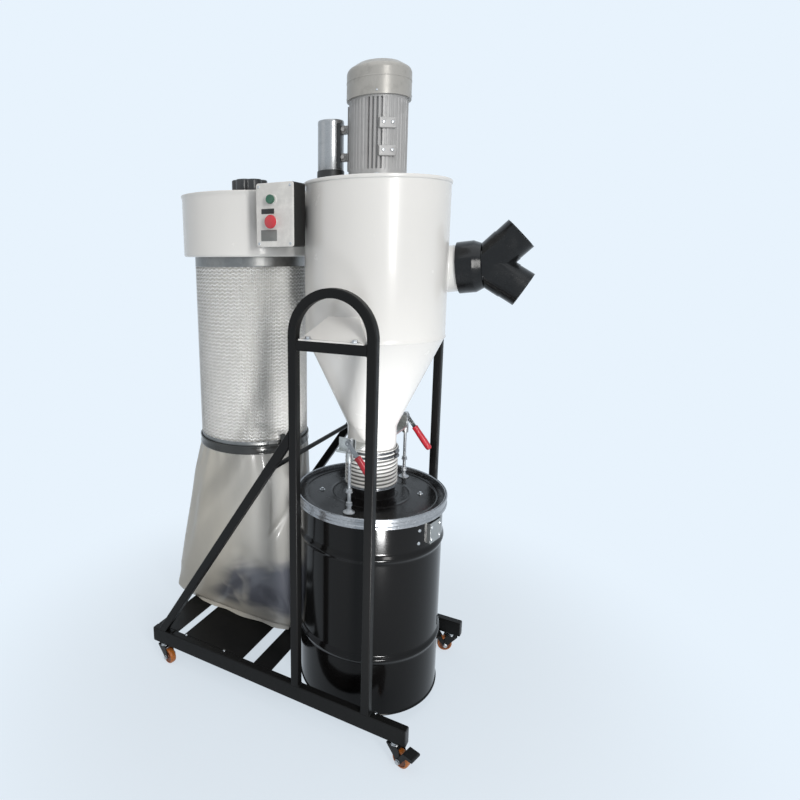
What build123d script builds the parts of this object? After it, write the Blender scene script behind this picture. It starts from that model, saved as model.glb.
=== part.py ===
from build123d import *
import math
import os

# Portable cyclone dust collector, in millimetres.
# X runs along the frame towards the drum end, +Y to the rear, +Z up.
# The cyclone and drum share the Z axis, and the floor is at Z = 0.

# General clearances
overrun = 20.0
seat_gap = 0.3
running_gap = 0.06

# Frame
tube_size = 25.0
tube_corner = 3.0
beam_height = 50.0
beam_bottom = 66.0
frame_right = 230.0
frame_clear = 64.0
end_member_width = 87.0
front_slot = 30.0
bag_tray_length = 238.0
rear_slot = 42.0
stop_plate_length = 66.0
stop_reach = 9.0
drum_clear = 4.0
tray_thickness = 4.0
tray_lip = 24.0
hoop_half_span = 112.0
hoop_rise = 146.0
crossbar_rise = 11.0
crossbar_height = 27.0
brace_drop = 386.0
brace_foot_inset = 37.0
tie_rod_drop = 125.0
tie_rod_radius = 7.0

# Frame casters
wheel_radius = 25.0
wheel_width = 20.0
wheel_tread_round = 5.0
wheel_recess = 3.0
wheel_hub_radius = 10.0
wheel_rim_radius = 19.0
axle_radius = 4.0
caster_trail = 22.0
caster_right_inset = 30.0
caster_left_inset = 38.0
seat_radius = 13.0
seat_height = 6.0
king_pin_radius = 6.0
crown_thickness = 4.0
crown_half_length = 19.0
crown_gap = 0.4
cheek_thickness = 3.0
cheek_gap = 2.0
cheek_end_radius = 10.0
caster_turns = {"front_left": -12.0, "rear_left": 14.0, "front_right": -16.0, "rear_right": 205.0}
pedal_start = 14.0
pedal_length = 32.0
pedal_thickness = 9.0
pedal_lift = 25.0
pedal_arm_thickness = 2.5
pedal_arm_width = 12.0
pedal_gap = 0.5
pedal_round = 3.0

# Cyclone body
barrel_radius = 200.0
barrel_height = 419.0
sheet = 3.0
rim_height = 9.0
rim_proud = 3.0
top_plate_thickness = 4.0
top_plate_drop = 6.0
outlet_radius = 73.0
cone_height = 270.0
outlet_length = 94.0
hose_gap = 123.0
bracket_sheet = 4.0
bracket_foot_width = 182.0
bracket_head_width = 88.0
bracket_rise = 64.0

# Inlet and Y-fitting, on an axis set off to the rear, turned a little and pitched up
inlet_yaw = 6.0
inlet_pitch = 6.0
inlet_offset = 99.0
inlet_rise = 187.0
stub_radius = 65.0
collar_start = 216.5
stub_lap = 38.0
collar_radius = 72.0
collar_length = 45.0
collar_chamfer_length = 22.0
collar_neck_radius = 62.0
branch_angle = 37.5
branch_radius = 50.0
branch_reach = 125.0
branch_start = 70.0
fitting_wall = 4.0
port_length = 45.0
port_step = 1.5

# Motor
motor_flange_radius = 96.0
motor_flange_height = 24.0
motor_core_radius = 71.0
motor_fin_radius = 79.0
motor_fin_thickness = 3.2
motor_fin_count = 36
motor_end_ring = 10.0
motor_height = 195.0
motor_pad_width = 46.0
motor_pad_height = 26.0
motor_pad_proud = 7.0
motor_pad_lifts = (53.0, 121.0)
motor_pad_angle = -50.0
cover_radius = 86.0
cover_sheet = 2.5
cover_lap = 5.0
cover_skirt = 73.0
cover_dome = 16.0
cover_cap_radius = 60.0
cover_slot_count = 14
cover_slot_width = 4.0
cover_slot_inner_radius = 14.0
cover_slot_outer_radius = 52.0
capacitor_radius = 36.5
capacitor_gap = 22.0
capacitor_y = -12.0
capacitor_height = 177.0
capacitor_base_radius = 38.5
capacitor_base_height = 46.0
capacitor_round = 6.0
clamp_height = 20.0
clamp_width = 24.0
clamp_lifts = (67.0, 139.0)

# Filter head, sleeve, element and bag
filter_gap = 17.0
head_radius = 209.0
head_height = 182.0
head_drop = 16.0
head_plate_drop = 8.0
duct_half_width = 92.0
duct_height = 126.0
duct_drop = 11.0
sleeve_inset = 33.0
sleeve_sheet = 2.0
sleeve_lap = 12.0
element_gap = 6.0
pleat_depth = 30.0
element_pleats = 60
sleeve_drop = 599.0
band_height = 27.0
band_sheet = 3.0
latch_angle = -28.0
latch_height = 62.0
latch_width = 22.0
latch_depth = 12.0
knob_radius = 55.0
knob_lift = 10.0
knob_height = 40.0
knob_lobes = 6
knob_lobe_radius = 9.0
knob_stem_radius = 14.0
bag_half_length = 255.0
bag_half_depth = 104.0
bag_belly_draw = 10.0
bag_foot_half_depth = 64.0
bag_low_half_depth = 80.0
bag_low_lift = 22.0
bag_film = 1.5
bag_outline_points = 32
bag_squareness = 4.5
round_power = 2.0
bag_gap = 14.0
bag_bulge_lift = 124.0
bag_clear = 2.0
bag_round = 6.0
dust_clear = 0.5
dust_height = 92.0
dust_mound_shares = ((0.75, 0.75, 0.75), (1.0, 0.45, 0.35))

# Control box
box_width = 116.0
box_depth = 58.0
box_lift = 26.0
box_height = 165.0
box_shift = 9.5
box_proud = 15.0
box_corner = 5.0
panel_sheet = 3.0
arm_width = 70.0
arm_height = 60.0
button_shift = 5.0
start_button_lift = 122.0
stop_button_lift = 65.0
start_button_radius = 12.0
stop_button_radius = 18.0
button_stem_radius = 9.0
button_cap = 8.0
button_travel = 4.0
button_clear = 1.5
bezel_wall = 3.0
bezel_height = 5.0

# Drum, lid and hose
drum_oversize = 16.0
drum_sheet = 2.5
drum_bottom = 40.0
drum_height = 605.0
drum_bead_lift = 183.0
drum_bead_drop = 111.0
drum_bead_rise = 6.0
drum_bead_half = 13.0
drum_bead_flat = 4.5
drum_rim_rise = 5.0
drum_rim_height = 10.0
drum_floor_lift = 12.0
drum_floor_sheet = 3.0
drum_caster_count = 4
drum_caster_inset = 48.0
drum_wheel_radius = 17.0
drum_wheel_width = 14.0
drum_caster_plate = 44.0
drum_cheek = 3.0
lid_overhang = 8.0
lid_sheet = 3.0
lid_recess = 2.5
lid_wall_width = 26.0
ring_sheet = 4.0
ring_drop = 16.0
ring_rise = 15.0
spigot_height = 56.0
hose_lift = 34.0
hose_radius = 79.0
hose_inner_radius = 74.0
hose_ribs = 11
hose_lap = 30.0
hose_rise_share = 0.25
handle_plate_width = 58.0
handle_plate_height = 62.0
handle_plate_sheet = 3.0
handle_plate_angle = -12.0
handle_plate_drop = 8.0

# Lid lifters
lifter_inset = 30.0
lifter_front_x = 6.0
lifter_rear_x = 44.0
lifter_rod_radius = 5.0
lifter_foot_radius = 17.0
lifter_foot_height = 14.0
lifter_foot_rim = 3.5
lifter_block = 14.0
lifter_pivot_rise = 84.0
lifter_block_height = 26.0
lifter_pin_radius = 3.0
lifter_pin_reach = 9.0
lifter_sleeve_radius = 10.0
lifter_sleeve_gap = 0.4
lifter_sleeve_rise = 30.0
lifter_sleeve_height = 26.0
lifter_arm_width = 42.0
lifter_arm_thickness = 6.0
lifter_plate_sheet = 4.0
lifter_plate_width = 50.0
lifter_plate_rise = 90.0
lifter_plate_inset = 14.0
handle_drop_angle = 52.0
handle_arm_length = 44.0
handle_arm_width = 12.0
handle_arm_sheet = 4.0
handle_grip_length = 86.0
handle_grip_radius = 10.5
handle_grip_round = 4.0
handle_hub_radius = 9.0
handle_gap = 0.6

# Worked-out heights, from the floor up
beam_top = beam_bottom + beam_height
drum_top = drum_bottom + drum_height
drum_bead_heights = [drum_bottom + drum_bead_lift, drum_top - drum_bead_drop]
lid_face = drum_top + seat_gap + lid_sheet
lid_floor = lid_face - lid_recess
ring_bottom = drum_top - ring_drop
ring_top = drum_top + ring_rise
outlet_bottom = drum_top + hose_gap
cone_bottom = outlet_bottom + outlet_length
barrel_bottom = cone_bottom + cone_height
barrel_top = barrel_bottom + barrel_height
top_plate_face = barrel_top - top_plate_drop
top_plate_z = top_plate_face - top_plate_thickness
crossbar_top = barrel_bottom + crossbar_rise
hoop_top = barrel_bottom + hoop_rise
brace_top = hoop_top - brace_drop
tie_rod_height = brace_top - tie_rod_drop
bracket_head_z = barrel_bottom + bracket_rise
inlet_height = barrel_bottom + inlet_rise
flange_top = top_plate_face + motor_flange_height
motor_top = flange_top + motor_height
cover_bottom = motor_top - cover_lap
cover_shoulder = cover_bottom + cover_skirt
cover_top = cover_shoulder + cover_dome
capacitor_top = top_plate_face + capacitor_height
head_top_z = barrel_top - head_drop
head_bottom = head_top_z - head_height
duct_top = head_top_z - duct_drop
duct_bottom = duct_top - duct_height
band_bottom = head_bottom - sleeve_drop
knob_bottom = head_top_z + knob_lift
bag_bulge_z = beam_top + bag_bulge_lift
box_bottom = head_bottom + box_lift
start_button_z = box_bottom + start_button_lift
stop_button_z = box_bottom + stop_button_lift
lifter_pivot_z = outlet_bottom + lifter_pivot_rise
lifter_sleeve_bottom = outlet_bottom + lifter_sleeve_rise
lifter_plate_top = outlet_bottom + lifter_plate_rise

# Worked-out places, from the cyclone's axis outwards
sleeve_radius = head_radius - sleeve_inset
element_outer_radius = sleeve_radius - sleeve_sheet - element_gap
element_inner_radius = element_outer_radius - pleat_depth
drum_radius = barrel_radius + drum_oversize
drum_caster_circle = drum_radius - drum_caster_inset
lifter_rod_x = {"front": lifter_front_x, "rear": lifter_rear_x}
lid_radius = drum_radius + lid_overhang
lifter_y = lid_radius - lid_wall_width - lifter_inset
frame_half_width = drum_radius + frame_clear
beam_y = frame_half_width - tube_size / 2
inner_width = 2 * (frame_half_width - tube_size)
stop_plate_right = stop_reach - drum_radius
stop_plate_left = stop_plate_right - stop_plate_length
tray_right = stop_plate_left - rear_slot
tray_left = tray_right - bag_tray_length
end_member_right = tray_left - front_slot
frame_left = end_member_right - end_member_width
brace_foot_x = frame_left + brace_foot_inset
caster_right_x = frame_right - caster_right_inset
caster_left_x = frame_left + caster_left_inset
capacitor_x = -(motor_fin_radius + capacitor_gap + capacitor_radius)
filter_x = -(barrel_radius + filter_gap + head_radius)
bag_centre_x = -(drum_radius + drum_bead_rise + bag_gap + bag_half_length)
box_centre_x = box_shift - barrel_radius - filter_gap / 2
box_face_y = -(barrel_radius + box_proud)
button_x = box_centre_x - button_shift

parts = {}


def block(x_range, y_range, z_range):
    """A plain box between two values on each axis."""
    size = [high - low for low, high in (x_range, y_range, z_range)]
    centre = [(low + high) / 2 for low, high in (x_range, y_range, z_range)]
    return Pos(*centre) * Box(*size)


def ring(outer_radius, inner_radius, bottom, height, x=0.0, y=0.0):
    """An upright tube, or a disc where the inner radius is zero."""
    face = Circle(outer_radius)
    if inner_radius > 0:
        face = face - Circle(inner_radius)
    return Pos(x, y, bottom) * extrude(face, height)


def turned(points, x=0.0, y=0.0):
    """A profile of (radius, height) points turned about an upright axis."""
    profile = Plane.XZ * make_face(Polyline(*points, close=True))
    return Pos(x, y, 0) * revolve(profile, Axis.Z)


def square_tube(start, end):
    """A straight bar of the frame's rounded square tube, in an upright plane along the frame."""
    path = Line(start, end)
    plane = Plane(origin=path @ 0, x_dir=(0, 1, 0), z_dir=path % 0)
    return sweep(plane * RectangleRounded(tube_size, tube_size, tube_corner), path=path)


def mirror_pair(piece):
    """A piece and its copy on the other side of the frame's middle plane."""
    return Compound(children=[piece, mirror(piece, about=Plane.XZ)])


def make_beams():
    """The two long beams, each an upright rectangular tube."""
    section = RectangleRounded(tube_size, beam_height, tube_corner)
    for name, side in (("front_beam", -1), ("rear_beam", 1)):
        start = Plane(
            origin=(frame_left, side * beam_y, beam_bottom + beam_height / 2),
            x_dir=(0, 1, 0),
            z_dir=(1, 0, 0),
        )
        parts[name] = extrude(start * section, frame_right - frame_left)


def folded_plate(left, right, lip):
    """A plate between the beams, level with their tops, with a lip folded down along its left edge."""
    half = inner_width / 2
    plate = block((left, right), (-half, half), (beam_top - tray_thickness, beam_top))
    return plate + block((left, left + tray_thickness), (-half, half), (beam_top - lip, beam_top))


def make_cross_members():
    """The end plate, the tray that the bag lies on, and the plate that stops the drum."""
    parts["end_member"] = folded_plate(frame_left, end_member_right, beam_height)
    parts["bag_tray"] = folded_plate(tray_left, tray_right, tray_lip)
    stop = folded_plate(stop_plate_left, stop_plate_right, tray_lip)
    notch = ring(drum_radius + drum_bead_rise + drum_clear, 0, beam_bottom, beam_height)
    parts["drum_stop"] = stop - notch


def make_hoops():
    """Two inverted-U hoops on the beams, with a flat crossbar under each arch."""
    arch_z = hoop_top - tube_size / 2 - hoop_half_span
    for name, side in (("front_hoop", -1), ("rear_hoop", 1)):
        y = side * beam_y
        left_leg = Line((-hoop_half_span, y, beam_top), (-hoop_half_span, y, arch_z))
        arch = ThreePointArc(
            (-hoop_half_span, y, arch_z),
            (0, y, arch_z + hoop_half_span),
            (hoop_half_span, y, arch_z),
        )
        right_leg = Line((hoop_half_span, y, arch_z), (hoop_half_span, y, beam_top))
        path = Wire([left_leg, arch, right_leg])
        plane = Plane(origin=path @ 0, x_dir=(0, 1, 0), z_dir=path % 0)
        parts[name] = sweep(plane * RectangleRounded(tube_size, tube_size, tube_corner), path=path)
    reach = hoop_half_span - tube_size / 2
    depth = (-beam_y - tube_size / 2, -beam_y + tube_size / 2)
    bar = block((-reach, reach), depth, (crossbar_top - crossbar_height, crossbar_top))
    parts["crossbars"] = mirror_pair(bar)


def make_braces():
    """The diagonal braces from the hoops to the filter end, and the rod that ties them."""
    leg_face = -hoop_half_span - tube_size / 2
    slope = (brace_top - beam_top) / (-hoop_half_span - brace_foot_x)
    run = overrun + tube_size
    top = (leg_face + run, -beam_y, brace_top + (run - tube_size / 2) * slope)
    foot = (brace_foot_x - run, -beam_y, beam_top - run * slope)
    brace = square_tube(foot, top)
    keep = block((frame_left, leg_face), (-frame_half_width, 0), (beam_top, hoop_top))
    parts["braces"] = mirror_pair(brace & keep)
    tie_x = -hoop_half_span - (brace_top - tie_rod_height) / slope
    length = 2 * (beam_y - tube_size / 2)
    rod = Rot(90, 0, 0) * Cylinder(tie_rod_radius, length)
    parts["tie_rod"] = Pos(tie_x, 0, tie_rod_height) * rod


def caster_places():
    """Each frame caster's name with its stem position and turn."""
    for name, turn in caster_turns.items():
        side = -1 if name.startswith("front") else 1
        x = caster_right_x if name.endswith("right") else caster_left_x
        yield name, Pos(x, side * beam_y, 0) * Rot(0, 0, turn)


def make_fork():
    """A swivel fork: crown, two cheeks and the axle, trailing along +X."""
    crown_top = beam_bottom - seat_height - crown_gap
    crown_bottom = crown_top - crown_thickness
    half_gap = wheel_width / 2 + cheek_gap
    half_width = half_gap + cheek_thickness
    crown_x = (-crown_half_length, crown_half_length)
    crown = block(crown_x, (-half_width, half_width), (crown_bottom, crown_top))
    outline = Polyline(
        (-crown_half_length, crown_top),
        (crown_half_length, crown_top),
        (caster_trail + cheek_end_radius, wheel_radius),
        (caster_trail, wheel_radius - cheek_end_radius),
        (caster_trail - cheek_end_radius, wheel_radius),
        (-crown_half_length, crown_bottom),
        close=True,
    )
    cheek = extrude(Plane.XZ * make_face(outline), cheek_thickness)
    fork = crown + Pos(0, -half_gap, 0) * cheek + Pos(0, half_width, 0) * cheek
    axle_length = 2 * (half_width + pedal_gap + pedal_arm_thickness)
    axle = Rot(90, 0, 0) * Cylinder(axle_radius, axle_length)
    fork += Pos(caster_trail, 0, wheel_radius) * axle
    bore = ring(king_pin_radius + running_gap, 0, crown_bottom - overrun, crown_thickness + 2 * overrun)
    return fork - bore


def make_wheel():
    """A moulded wheel with a rounded tread, a dished web and a hub bore."""
    half = wheel_width / 2
    inner = axle_radius + running_gap
    profile = Polyline(
        (inner, -half),
        (wheel_hub_radius, -half),
        (wheel_hub_radius, -half + wheel_recess),
        (wheel_rim_radius, -half + wheel_recess),
        (wheel_rim_radius, -half),
        (wheel_radius - wheel_tread_round, -half),
        (wheel_radius, -half + wheel_tread_round),
        (wheel_radius, half - wheel_tread_round),
        (wheel_radius - wheel_tread_round, half),
        (wheel_rim_radius, half),
        (wheel_rim_radius, half - wheel_recess),
        (wheel_hub_radius, half - wheel_recess),
        (wheel_hub_radius, half),
        (inner, half),
        close=True,
    )
    solid = revolve(Plane.XZ * make_face(profile), Axis.Z)
    return Pos(caster_trail, 0, wheel_radius) * Rot(90, 0, 0) * solid


def make_pedal():
    """A brake pedal: two arms hung on the axle outside the cheeks, joined by a foot plate."""
    inside = wheel_width / 2 + cheek_gap + cheek_thickness + pedal_gap
    outside = inside + pedal_arm_thickness
    foot_x = (caster_trail + pedal_start, caster_trail + pedal_start + pedal_length)
    foot_z = wheel_radius + pedal_lift
    pedal = block(foot_x, (-outside, outside), (foot_z, foot_z + pedal_thickness))
    edges = pedal.edges().filter_by(Axis.Y).sort_by(Axis.X)[-2:]
    pedal = fillet(edges, pedal_round)
    eye_radius = pedal_arm_width / 2
    reach = foot_x[0] + pedal_arm_width
    outline = Polyline(
        (caster_trail - eye_radius, wheel_radius),
        (caster_trail + eye_radius, wheel_radius - eye_radius / 2),
        (reach, foot_z),
        (reach, foot_z + pedal_thickness),
        (foot_x[0], foot_z + pedal_thickness),
        close=True,
    )
    arm = extrude(Plane.XZ * make_face(outline), pedal_arm_thickness)
    at_axle = Pos(caster_trail, 0, wheel_radius) * Rot(90, 0, 0)
    eye = at_axle * extrude(Circle(eye_radius), pedal_arm_thickness)
    bore = at_axle * Cylinder(axle_radius + running_gap, 2 * (outside + overrun))
    for shift in (-inside, outside):
        pedal += Pos(0, shift, 0) * (arm + eye)
    return pedal - bore


def make_casters():
    """Four stem casters under the beams, the two at the drum end with brake pedals."""
    seats = []
    for name, place in caster_places():
        seat = ring(seat_radius, 0, beam_bottom - seat_height, seat_height)
        pin_height = seat_height + crown_gap + crown_thickness
        seat += ring(king_pin_radius, 0, beam_bottom - pin_height, pin_height)
        seats.append(place * seat)
        parts[f"{name}_fork"] = place * make_fork()
        parts[f"{name}_wheel"] = place * make_wheel()
        if name.endswith("right"):
            parts[f"{name}_pedal"] = place * make_pedal()
    parts["caster_seats"] = Compound(children=seats)


def make_barrel():
    """The rolled barrel with its rim, the top plate, and the cone with its outlet."""
    inner = barrel_radius - sheet
    rim = barrel_radius + rim_proud
    barrel = turned(
        [
            (inner, barrel_bottom),
            (barrel_radius, barrel_bottom),
            (barrel_radius, barrel_top - rim_height),
            (rim, barrel_top - rim_height),
            (rim, barrel_top),
            (inner, barrel_top),
        ]
    )
    barrel -= inlet_plane() * extrude(Circle(stub_radius), collar_start)
    duct_hole = block(
        (-barrel_radius - overrun, 0),
        (-duct_half_width, duct_half_width),
        (duct_bottom, duct_top),
    )
    parts["barrel"] = barrel - duct_hole
    parts["barrel_top"] = ring(inner, 0, top_plate_z, top_plate_thickness)
    parts["cone"] = turned(
        [
            (barrel_radius, barrel_bottom),
            (outlet_radius, cone_bottom),
            (outlet_radius, outlet_bottom),
            (outlet_radius - sheet, outlet_bottom),
            (outlet_radius - sheet, cone_bottom),
            (barrel_radius - sheet, barrel_bottom),
        ]
    )


def make_brackets():
    """Folded sheet brackets: a foot on each crossbar and a sloped face up to the barrel."""
    foot_front = -beam_y - tube_size / 2
    foot_z = crossbar_top
    fold = -beam_y
    profile = Polyline(
        (foot_front, foot_z),
        (-barrel_radius + overrun, foot_z),
        (-barrel_radius + overrun, bracket_head_z + bracket_sheet),
        (-barrel_radius, bracket_head_z + bracket_sheet),
        (fold, foot_z + bracket_sheet),
        (foot_front, foot_z + bracket_sheet),
        close=True,
    )
    wedge = extrude(Plane.YZ * make_face(profile), bracket_foot_width / 2, both=True)
    inner_profile = Polyline(
        (fold + bracket_sheet, foot_z - overrun),
        (0, foot_z - overrun),
        (0, bracket_head_z),
        (-barrel_radius, bracket_head_z - bracket_sheet),
        (fold + bracket_sheet, foot_z),
        close=True,
    )
    hollow_width = bracket_foot_width - 2 * bracket_sheet
    hollow = extrude(Plane.YZ * make_face(inner_profile), hollow_width / 2, both=True)
    outline = Polyline(
        (-bracket_foot_width / 2, foot_z),
        (bracket_foot_width / 2, foot_z),
        (bracket_foot_width / 2, foot_z + bracket_sheet),
        (bracket_head_width / 2, bracket_head_z + bracket_sheet),
        (-bracket_head_width / 2, bracket_head_z + bracket_sheet),
        (-bracket_foot_width / 2, foot_z + bracket_sheet),
        close=True,
    )
    face = extrude(Plane.XZ * make_face(outline), frame_half_width)
    drum = ring(barrel_radius, 0, barrel_bottom, barrel_top - barrel_bottom)
    bracket = ((wedge & face) - hollow) - drum
    parts["support_brackets"] = mirror_pair(bracket.solids().sort_by(SortBy.VOLUME)[-1])


def inlet_plane(distance=0.0):
    """The inlet's plane: its normal points out along the inlet axis."""
    yaw = math.radians(inlet_yaw)
    pitch = math.radians(inlet_pitch)
    out = Vector(math.cos(yaw) * math.cos(pitch), math.sin(yaw) * math.cos(pitch), math.sin(pitch))
    side = Vector(-math.sin(yaw), math.cos(yaw), 0)
    rise = Vector(0, 0, inlet_height - collar_start * math.sin(pitch))
    return Plane(origin=rise + side * inlet_offset + out * distance, x_dir=side, z_dir=out)


def make_inlet():
    """The welded inlet stub and the moulded Y-fitting with two hose ports."""
    length = collar_start + stub_lap
    stub = inlet_plane() * extrude(Circle(stub_radius) - Circle(stub_radius - sheet), length)
    inside = ring(barrel_radius, 0, barrel_bottom, barrel_top - barrel_bottom)
    outside = stub - inside
    parts["inlet_stub"] = outside.solids().sort_by(Axis.X)[-1]

    plane = inlet_plane(collar_start)
    socket = stub_radius + seat_gap / 2
    collar = [
        (0, 0),
        (collar_radius, 0),
        (collar_radius, collar_length),
        (collar_neck_radius, collar_length + collar_chamfer_length),
        (0, collar_length + collar_chamfer_length),
    ]
    body = revolve(Plane.XZ * make_face(Polyline(*collar, close=True)), Axis.Z)
    hollow = extrude(Circle(socket), stub_lap)
    throat_radius = collar_neck_radius - fitting_wall
    hollow += extrude(Circle(throat_radius), collar_length + collar_chamfer_length)
    for turn in (branch_angle, -branch_angle):
        place = Pos(0, 0, branch_start) * Rot(turn, 0, 0)
        port_start = branch_reach - port_length
        root = Pos(0, 0, -branch_radius / 2)
        body += place * root * extrude(Circle(branch_radius + port_step), port_start + branch_radius / 2)
        body += place * Pos(0, 0, port_start) * extrude(Circle(branch_radius), port_length)
        hollow += place * extrude(Circle(branch_radius - fitting_wall), branch_reach)
    parts["y_fitting"] = plane * (body - hollow)


def make_motor():
    """Flange, finned stator housing, domed fan cover and start capacitor."""
    step = motor_flange_height / 2
    parts["motor_flange"] = turned(
        [
            (0, top_plate_face),
            (motor_flange_radius, top_plate_face),
            (motor_flange_radius, top_plate_face + step),
            (motor_fin_radius, top_plate_face + step),
            (motor_fin_radius, flange_top),
            (0, flange_top),
        ]
    )
    body = ring(motor_core_radius, 0, flange_top, motor_top - flange_top)
    body += ring(motor_fin_radius, 0, flange_top, motor_end_ring)
    body += ring(motor_fin_radius, 0, motor_top - motor_end_ring, motor_end_ring)
    fin_reach = (motor_core_radius - motor_fin_thickness, motor_fin_radius - motor_fin_thickness / 2)
    fin = block(fin_reach, (-motor_fin_thickness / 2, motor_fin_thickness / 2), (flange_top, motor_top))
    body += [Rot(0, 0, turn * 360 / motor_fin_count) * fin for turn in range(motor_fin_count)]
    pad_reach = (motor_core_radius, motor_fin_radius + motor_pad_proud)
    for lift in motor_pad_lifts:
        height = flange_top + lift
        pad = block(
            pad_reach,
            (-motor_pad_width / 2, motor_pad_width / 2),
            (height - motor_pad_height / 2, height + motor_pad_height / 2),
        )
        body += Rot(0, 0, motor_pad_angle) * pad
    parts["motor_body"] = body

    inner = cover_radius - cover_sheet
    cover = turned(
        [
            (inner, cover_bottom),
            (cover_radius, cover_bottom),
            (cover_radius, cover_shoulder),
            (cover_cap_radius, cover_top),
            (0, cover_top),
            (0, cover_top - cover_sheet),
            (cover_cap_radius, cover_top - cover_sheet),
            (inner, cover_shoulder),
        ]
    )
    shoulder = cover.edges().filter_by(GeomType.CIRCLE).group_by(SortBy.RADIUS)[-1].sort_by(Axis.Z)[-1]
    cover = fillet(shoulder, cover_dome)
    slot = block(
        (cover_slot_inner_radius, cover_slot_outer_radius),
        (-cover_slot_width / 2, cover_slot_width / 2),
        (cover_top - overrun, cover_top + overrun),
    )
    for turn in range(cover_slot_count):
        cover -= Rot(0, 0, turn * 360 / cover_slot_count) * slot
    seat = ring(inner, motor_fin_radius, cover_bottom, motor_top - cover_bottom)
    parts["fan_cover"] = cover + seat

    can_bottom = top_plate_face + capacitor_base_height
    can = ring(capacitor_radius, 0, can_bottom, capacitor_top - can_bottom, capacitor_x, capacitor_y)
    rims = can.edges().filter_by(GeomType.CIRCLE).sort_by(Axis.Z)[-1]
    parts["capacitor"] = fillet(rims, capacitor_round)
    base = ring(capacitor_base_radius, 0, top_plate_face, capacitor_base_height, capacitor_x, capacitor_y)
    fittings = [base]
    for lift in clamp_lifts:
        height = top_plate_face + lift
        arm = block(
            (capacitor_x, -motor_core_radius / 2),
            (capacitor_y - clamp_width / 2, capacitor_y + clamp_width / 2),
            (height, height + clamp_height),
        )
        can_side = ring(capacitor_radius, 0, height, clamp_height, capacitor_x, capacitor_y)
        housing = ring(motor_fin_radius, 0, height, clamp_height)
        fittings.append((arm - can_side) - housing)
    parts["capacitor_fittings"] = Compound(children=fittings)


def make_filter():
    """Filter head, duct, sleeve, pleated element, clamp band and bag."""
    inner = head_radius - sheet
    head = turned(
        [
            (sleeve_radius + seat_gap / 2, head_bottom),
            (head_radius, head_bottom),
            (head_radius, head_top_z),
            (inner, head_top_z),
            (inner, head_bottom + sheet),
            (sleeve_radius + seat_gap / 2, head_bottom + sheet),
        ],
        filter_x,
    )
    duct_face = (duct_bottom, duct_top)
    duct_space = block((filter_x, 0), (-duct_half_width, duct_half_width), duct_face)
    parts["filter_head"] = head - duct_space
    plate_z = head_top_z - head_plate_drop - top_plate_thickness
    parts["head_top"] = ring(inner, 0, plate_z, top_plate_thickness, filter_x)

    wall = duct_half_width - sheet
    hollow = block((filter_x, 0), (-wall, wall), (duct_bottom + sheet, duct_top - sheet))
    duct = duct_space - hollow
    duct -= ring(head_radius, 0, duct_bottom, duct_top - duct_bottom, filter_x)
    duct -= ring(barrel_radius, 0, duct_bottom, duct_top - duct_bottom)
    parts["filter_duct"] = duct

    sleeve_bottom = band_bottom + band_height / 2
    sleeve_inner = sleeve_radius - sleeve_sheet
    sleeve_top = head_bottom + sleeve_lap
    sleeve_height = sleeve_top - sleeve_bottom
    parts["filter_sleeve"] = ring(sleeve_radius, sleeve_inner, sleeve_bottom, sleeve_height, filter_x)
    points = []
    for step in range(2 * element_pleats):
        radius = element_outer_radius if step % 2 == 0 else element_inner_radius
        angle = math.pi * step / element_pleats
        points.append((radius * math.cos(angle), radius * math.sin(angle)))
    cap_inner = element_inner_radius - 2 * sleeve_sheet
    pleats = make_face(Polyline(*points, close=True)) - Circle(cap_inner)
    element = Pos(filter_x, 0, sleeve_bottom) * extrude(pleats, sleeve_height)
    for bottom in (sleeve_bottom, sleeve_top - sleeve_lap):
        element += ring(sleeve_inner, cap_inner, bottom, sleeve_lap, filter_x)
    parts["pleated_element"] = element

    band_inner = sleeve_radius + bag_clear
    band = ring(band_inner + band_sheet, band_inner, band_bottom, band_height, filter_x)
    latch_reach = (band_inner, band_inner + band_sheet + latch_depth)
    latch = block(
        latch_reach,
        (-latch_width / 2, latch_width / 2),
        (band_bottom, band_bottom + latch_height),
    )
    parts["clamp_band"] = band + Pos(filter_x, 0, 0) * Rot(0, 0, latch_angle) * latch


def bag_outline(x, height, half_length, half_depth, power):
    """A flat superellipse |x/a|^n + |y/b|^n = 1, which runs from an ellipse to a rounded box."""
    points = []
    for step in range(bag_outline_points):
        angle = 2 * math.pi * step / bag_outline_points
        across, along = math.cos(angle), math.sin(angle)
        size = (abs(across) ** power + abs(along) ** power) ** (-1 / power)
        points.append((half_length * across * size, half_depth * along * size))
    return Pos(x, 0, height) * make_face(Spline(*points, periodic=True))


def bag_sections(inset):
    """The bag's outlines from its foot up to its round neck, drawn in by an inset."""
    half = bag_half_length - inset
    foot = (beam_top + inset, half - bag_round, bag_foot_half_depth - inset)
    low = (beam_top + bag_low_lift, half, bag_low_half_depth - inset)
    belly = (bag_bulge_z, half - bag_belly_draw, bag_half_depth - inset)
    faces = [bag_outline(bag_centre_x, *section, bag_squareness) for section in (foot, low, belly)]
    neck = sleeve_radius + bag_clear - seat_gap - inset
    faces.append(bag_outline(filter_x, band_bottom, neck, neck, round_power))
    return faces


def make_bag():
    """The plastic film bag, slumped on the tray from its round neck, and the dust heaped in it."""
    skins = []
    for inset in (0.0, bag_film):
        faces = bag_sections(inset)
        skins.append(loft(faces, ruled=True) + extrude(faces[-1], band_height))
    parts["dust_bag"] = skins[0] - skins[1]

    foot, low = bag_sections(bag_film + dust_clear)[:2]
    half = bag_half_length - bag_film - dust_clear - bag_belly_draw
    depth = bag_low_half_depth - bag_film - dust_clear
    faces = [foot, low]
    for rise_share, half_share, depth_share in dust_mound_shares:
        height = beam_top + dust_height * rise_share
        faces.append(bag_outline(bag_centre_x, height, half * half_share, depth * depth_share, round_power))
    parts["collected_dust"] = loft(faces, ruled=True)


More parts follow.
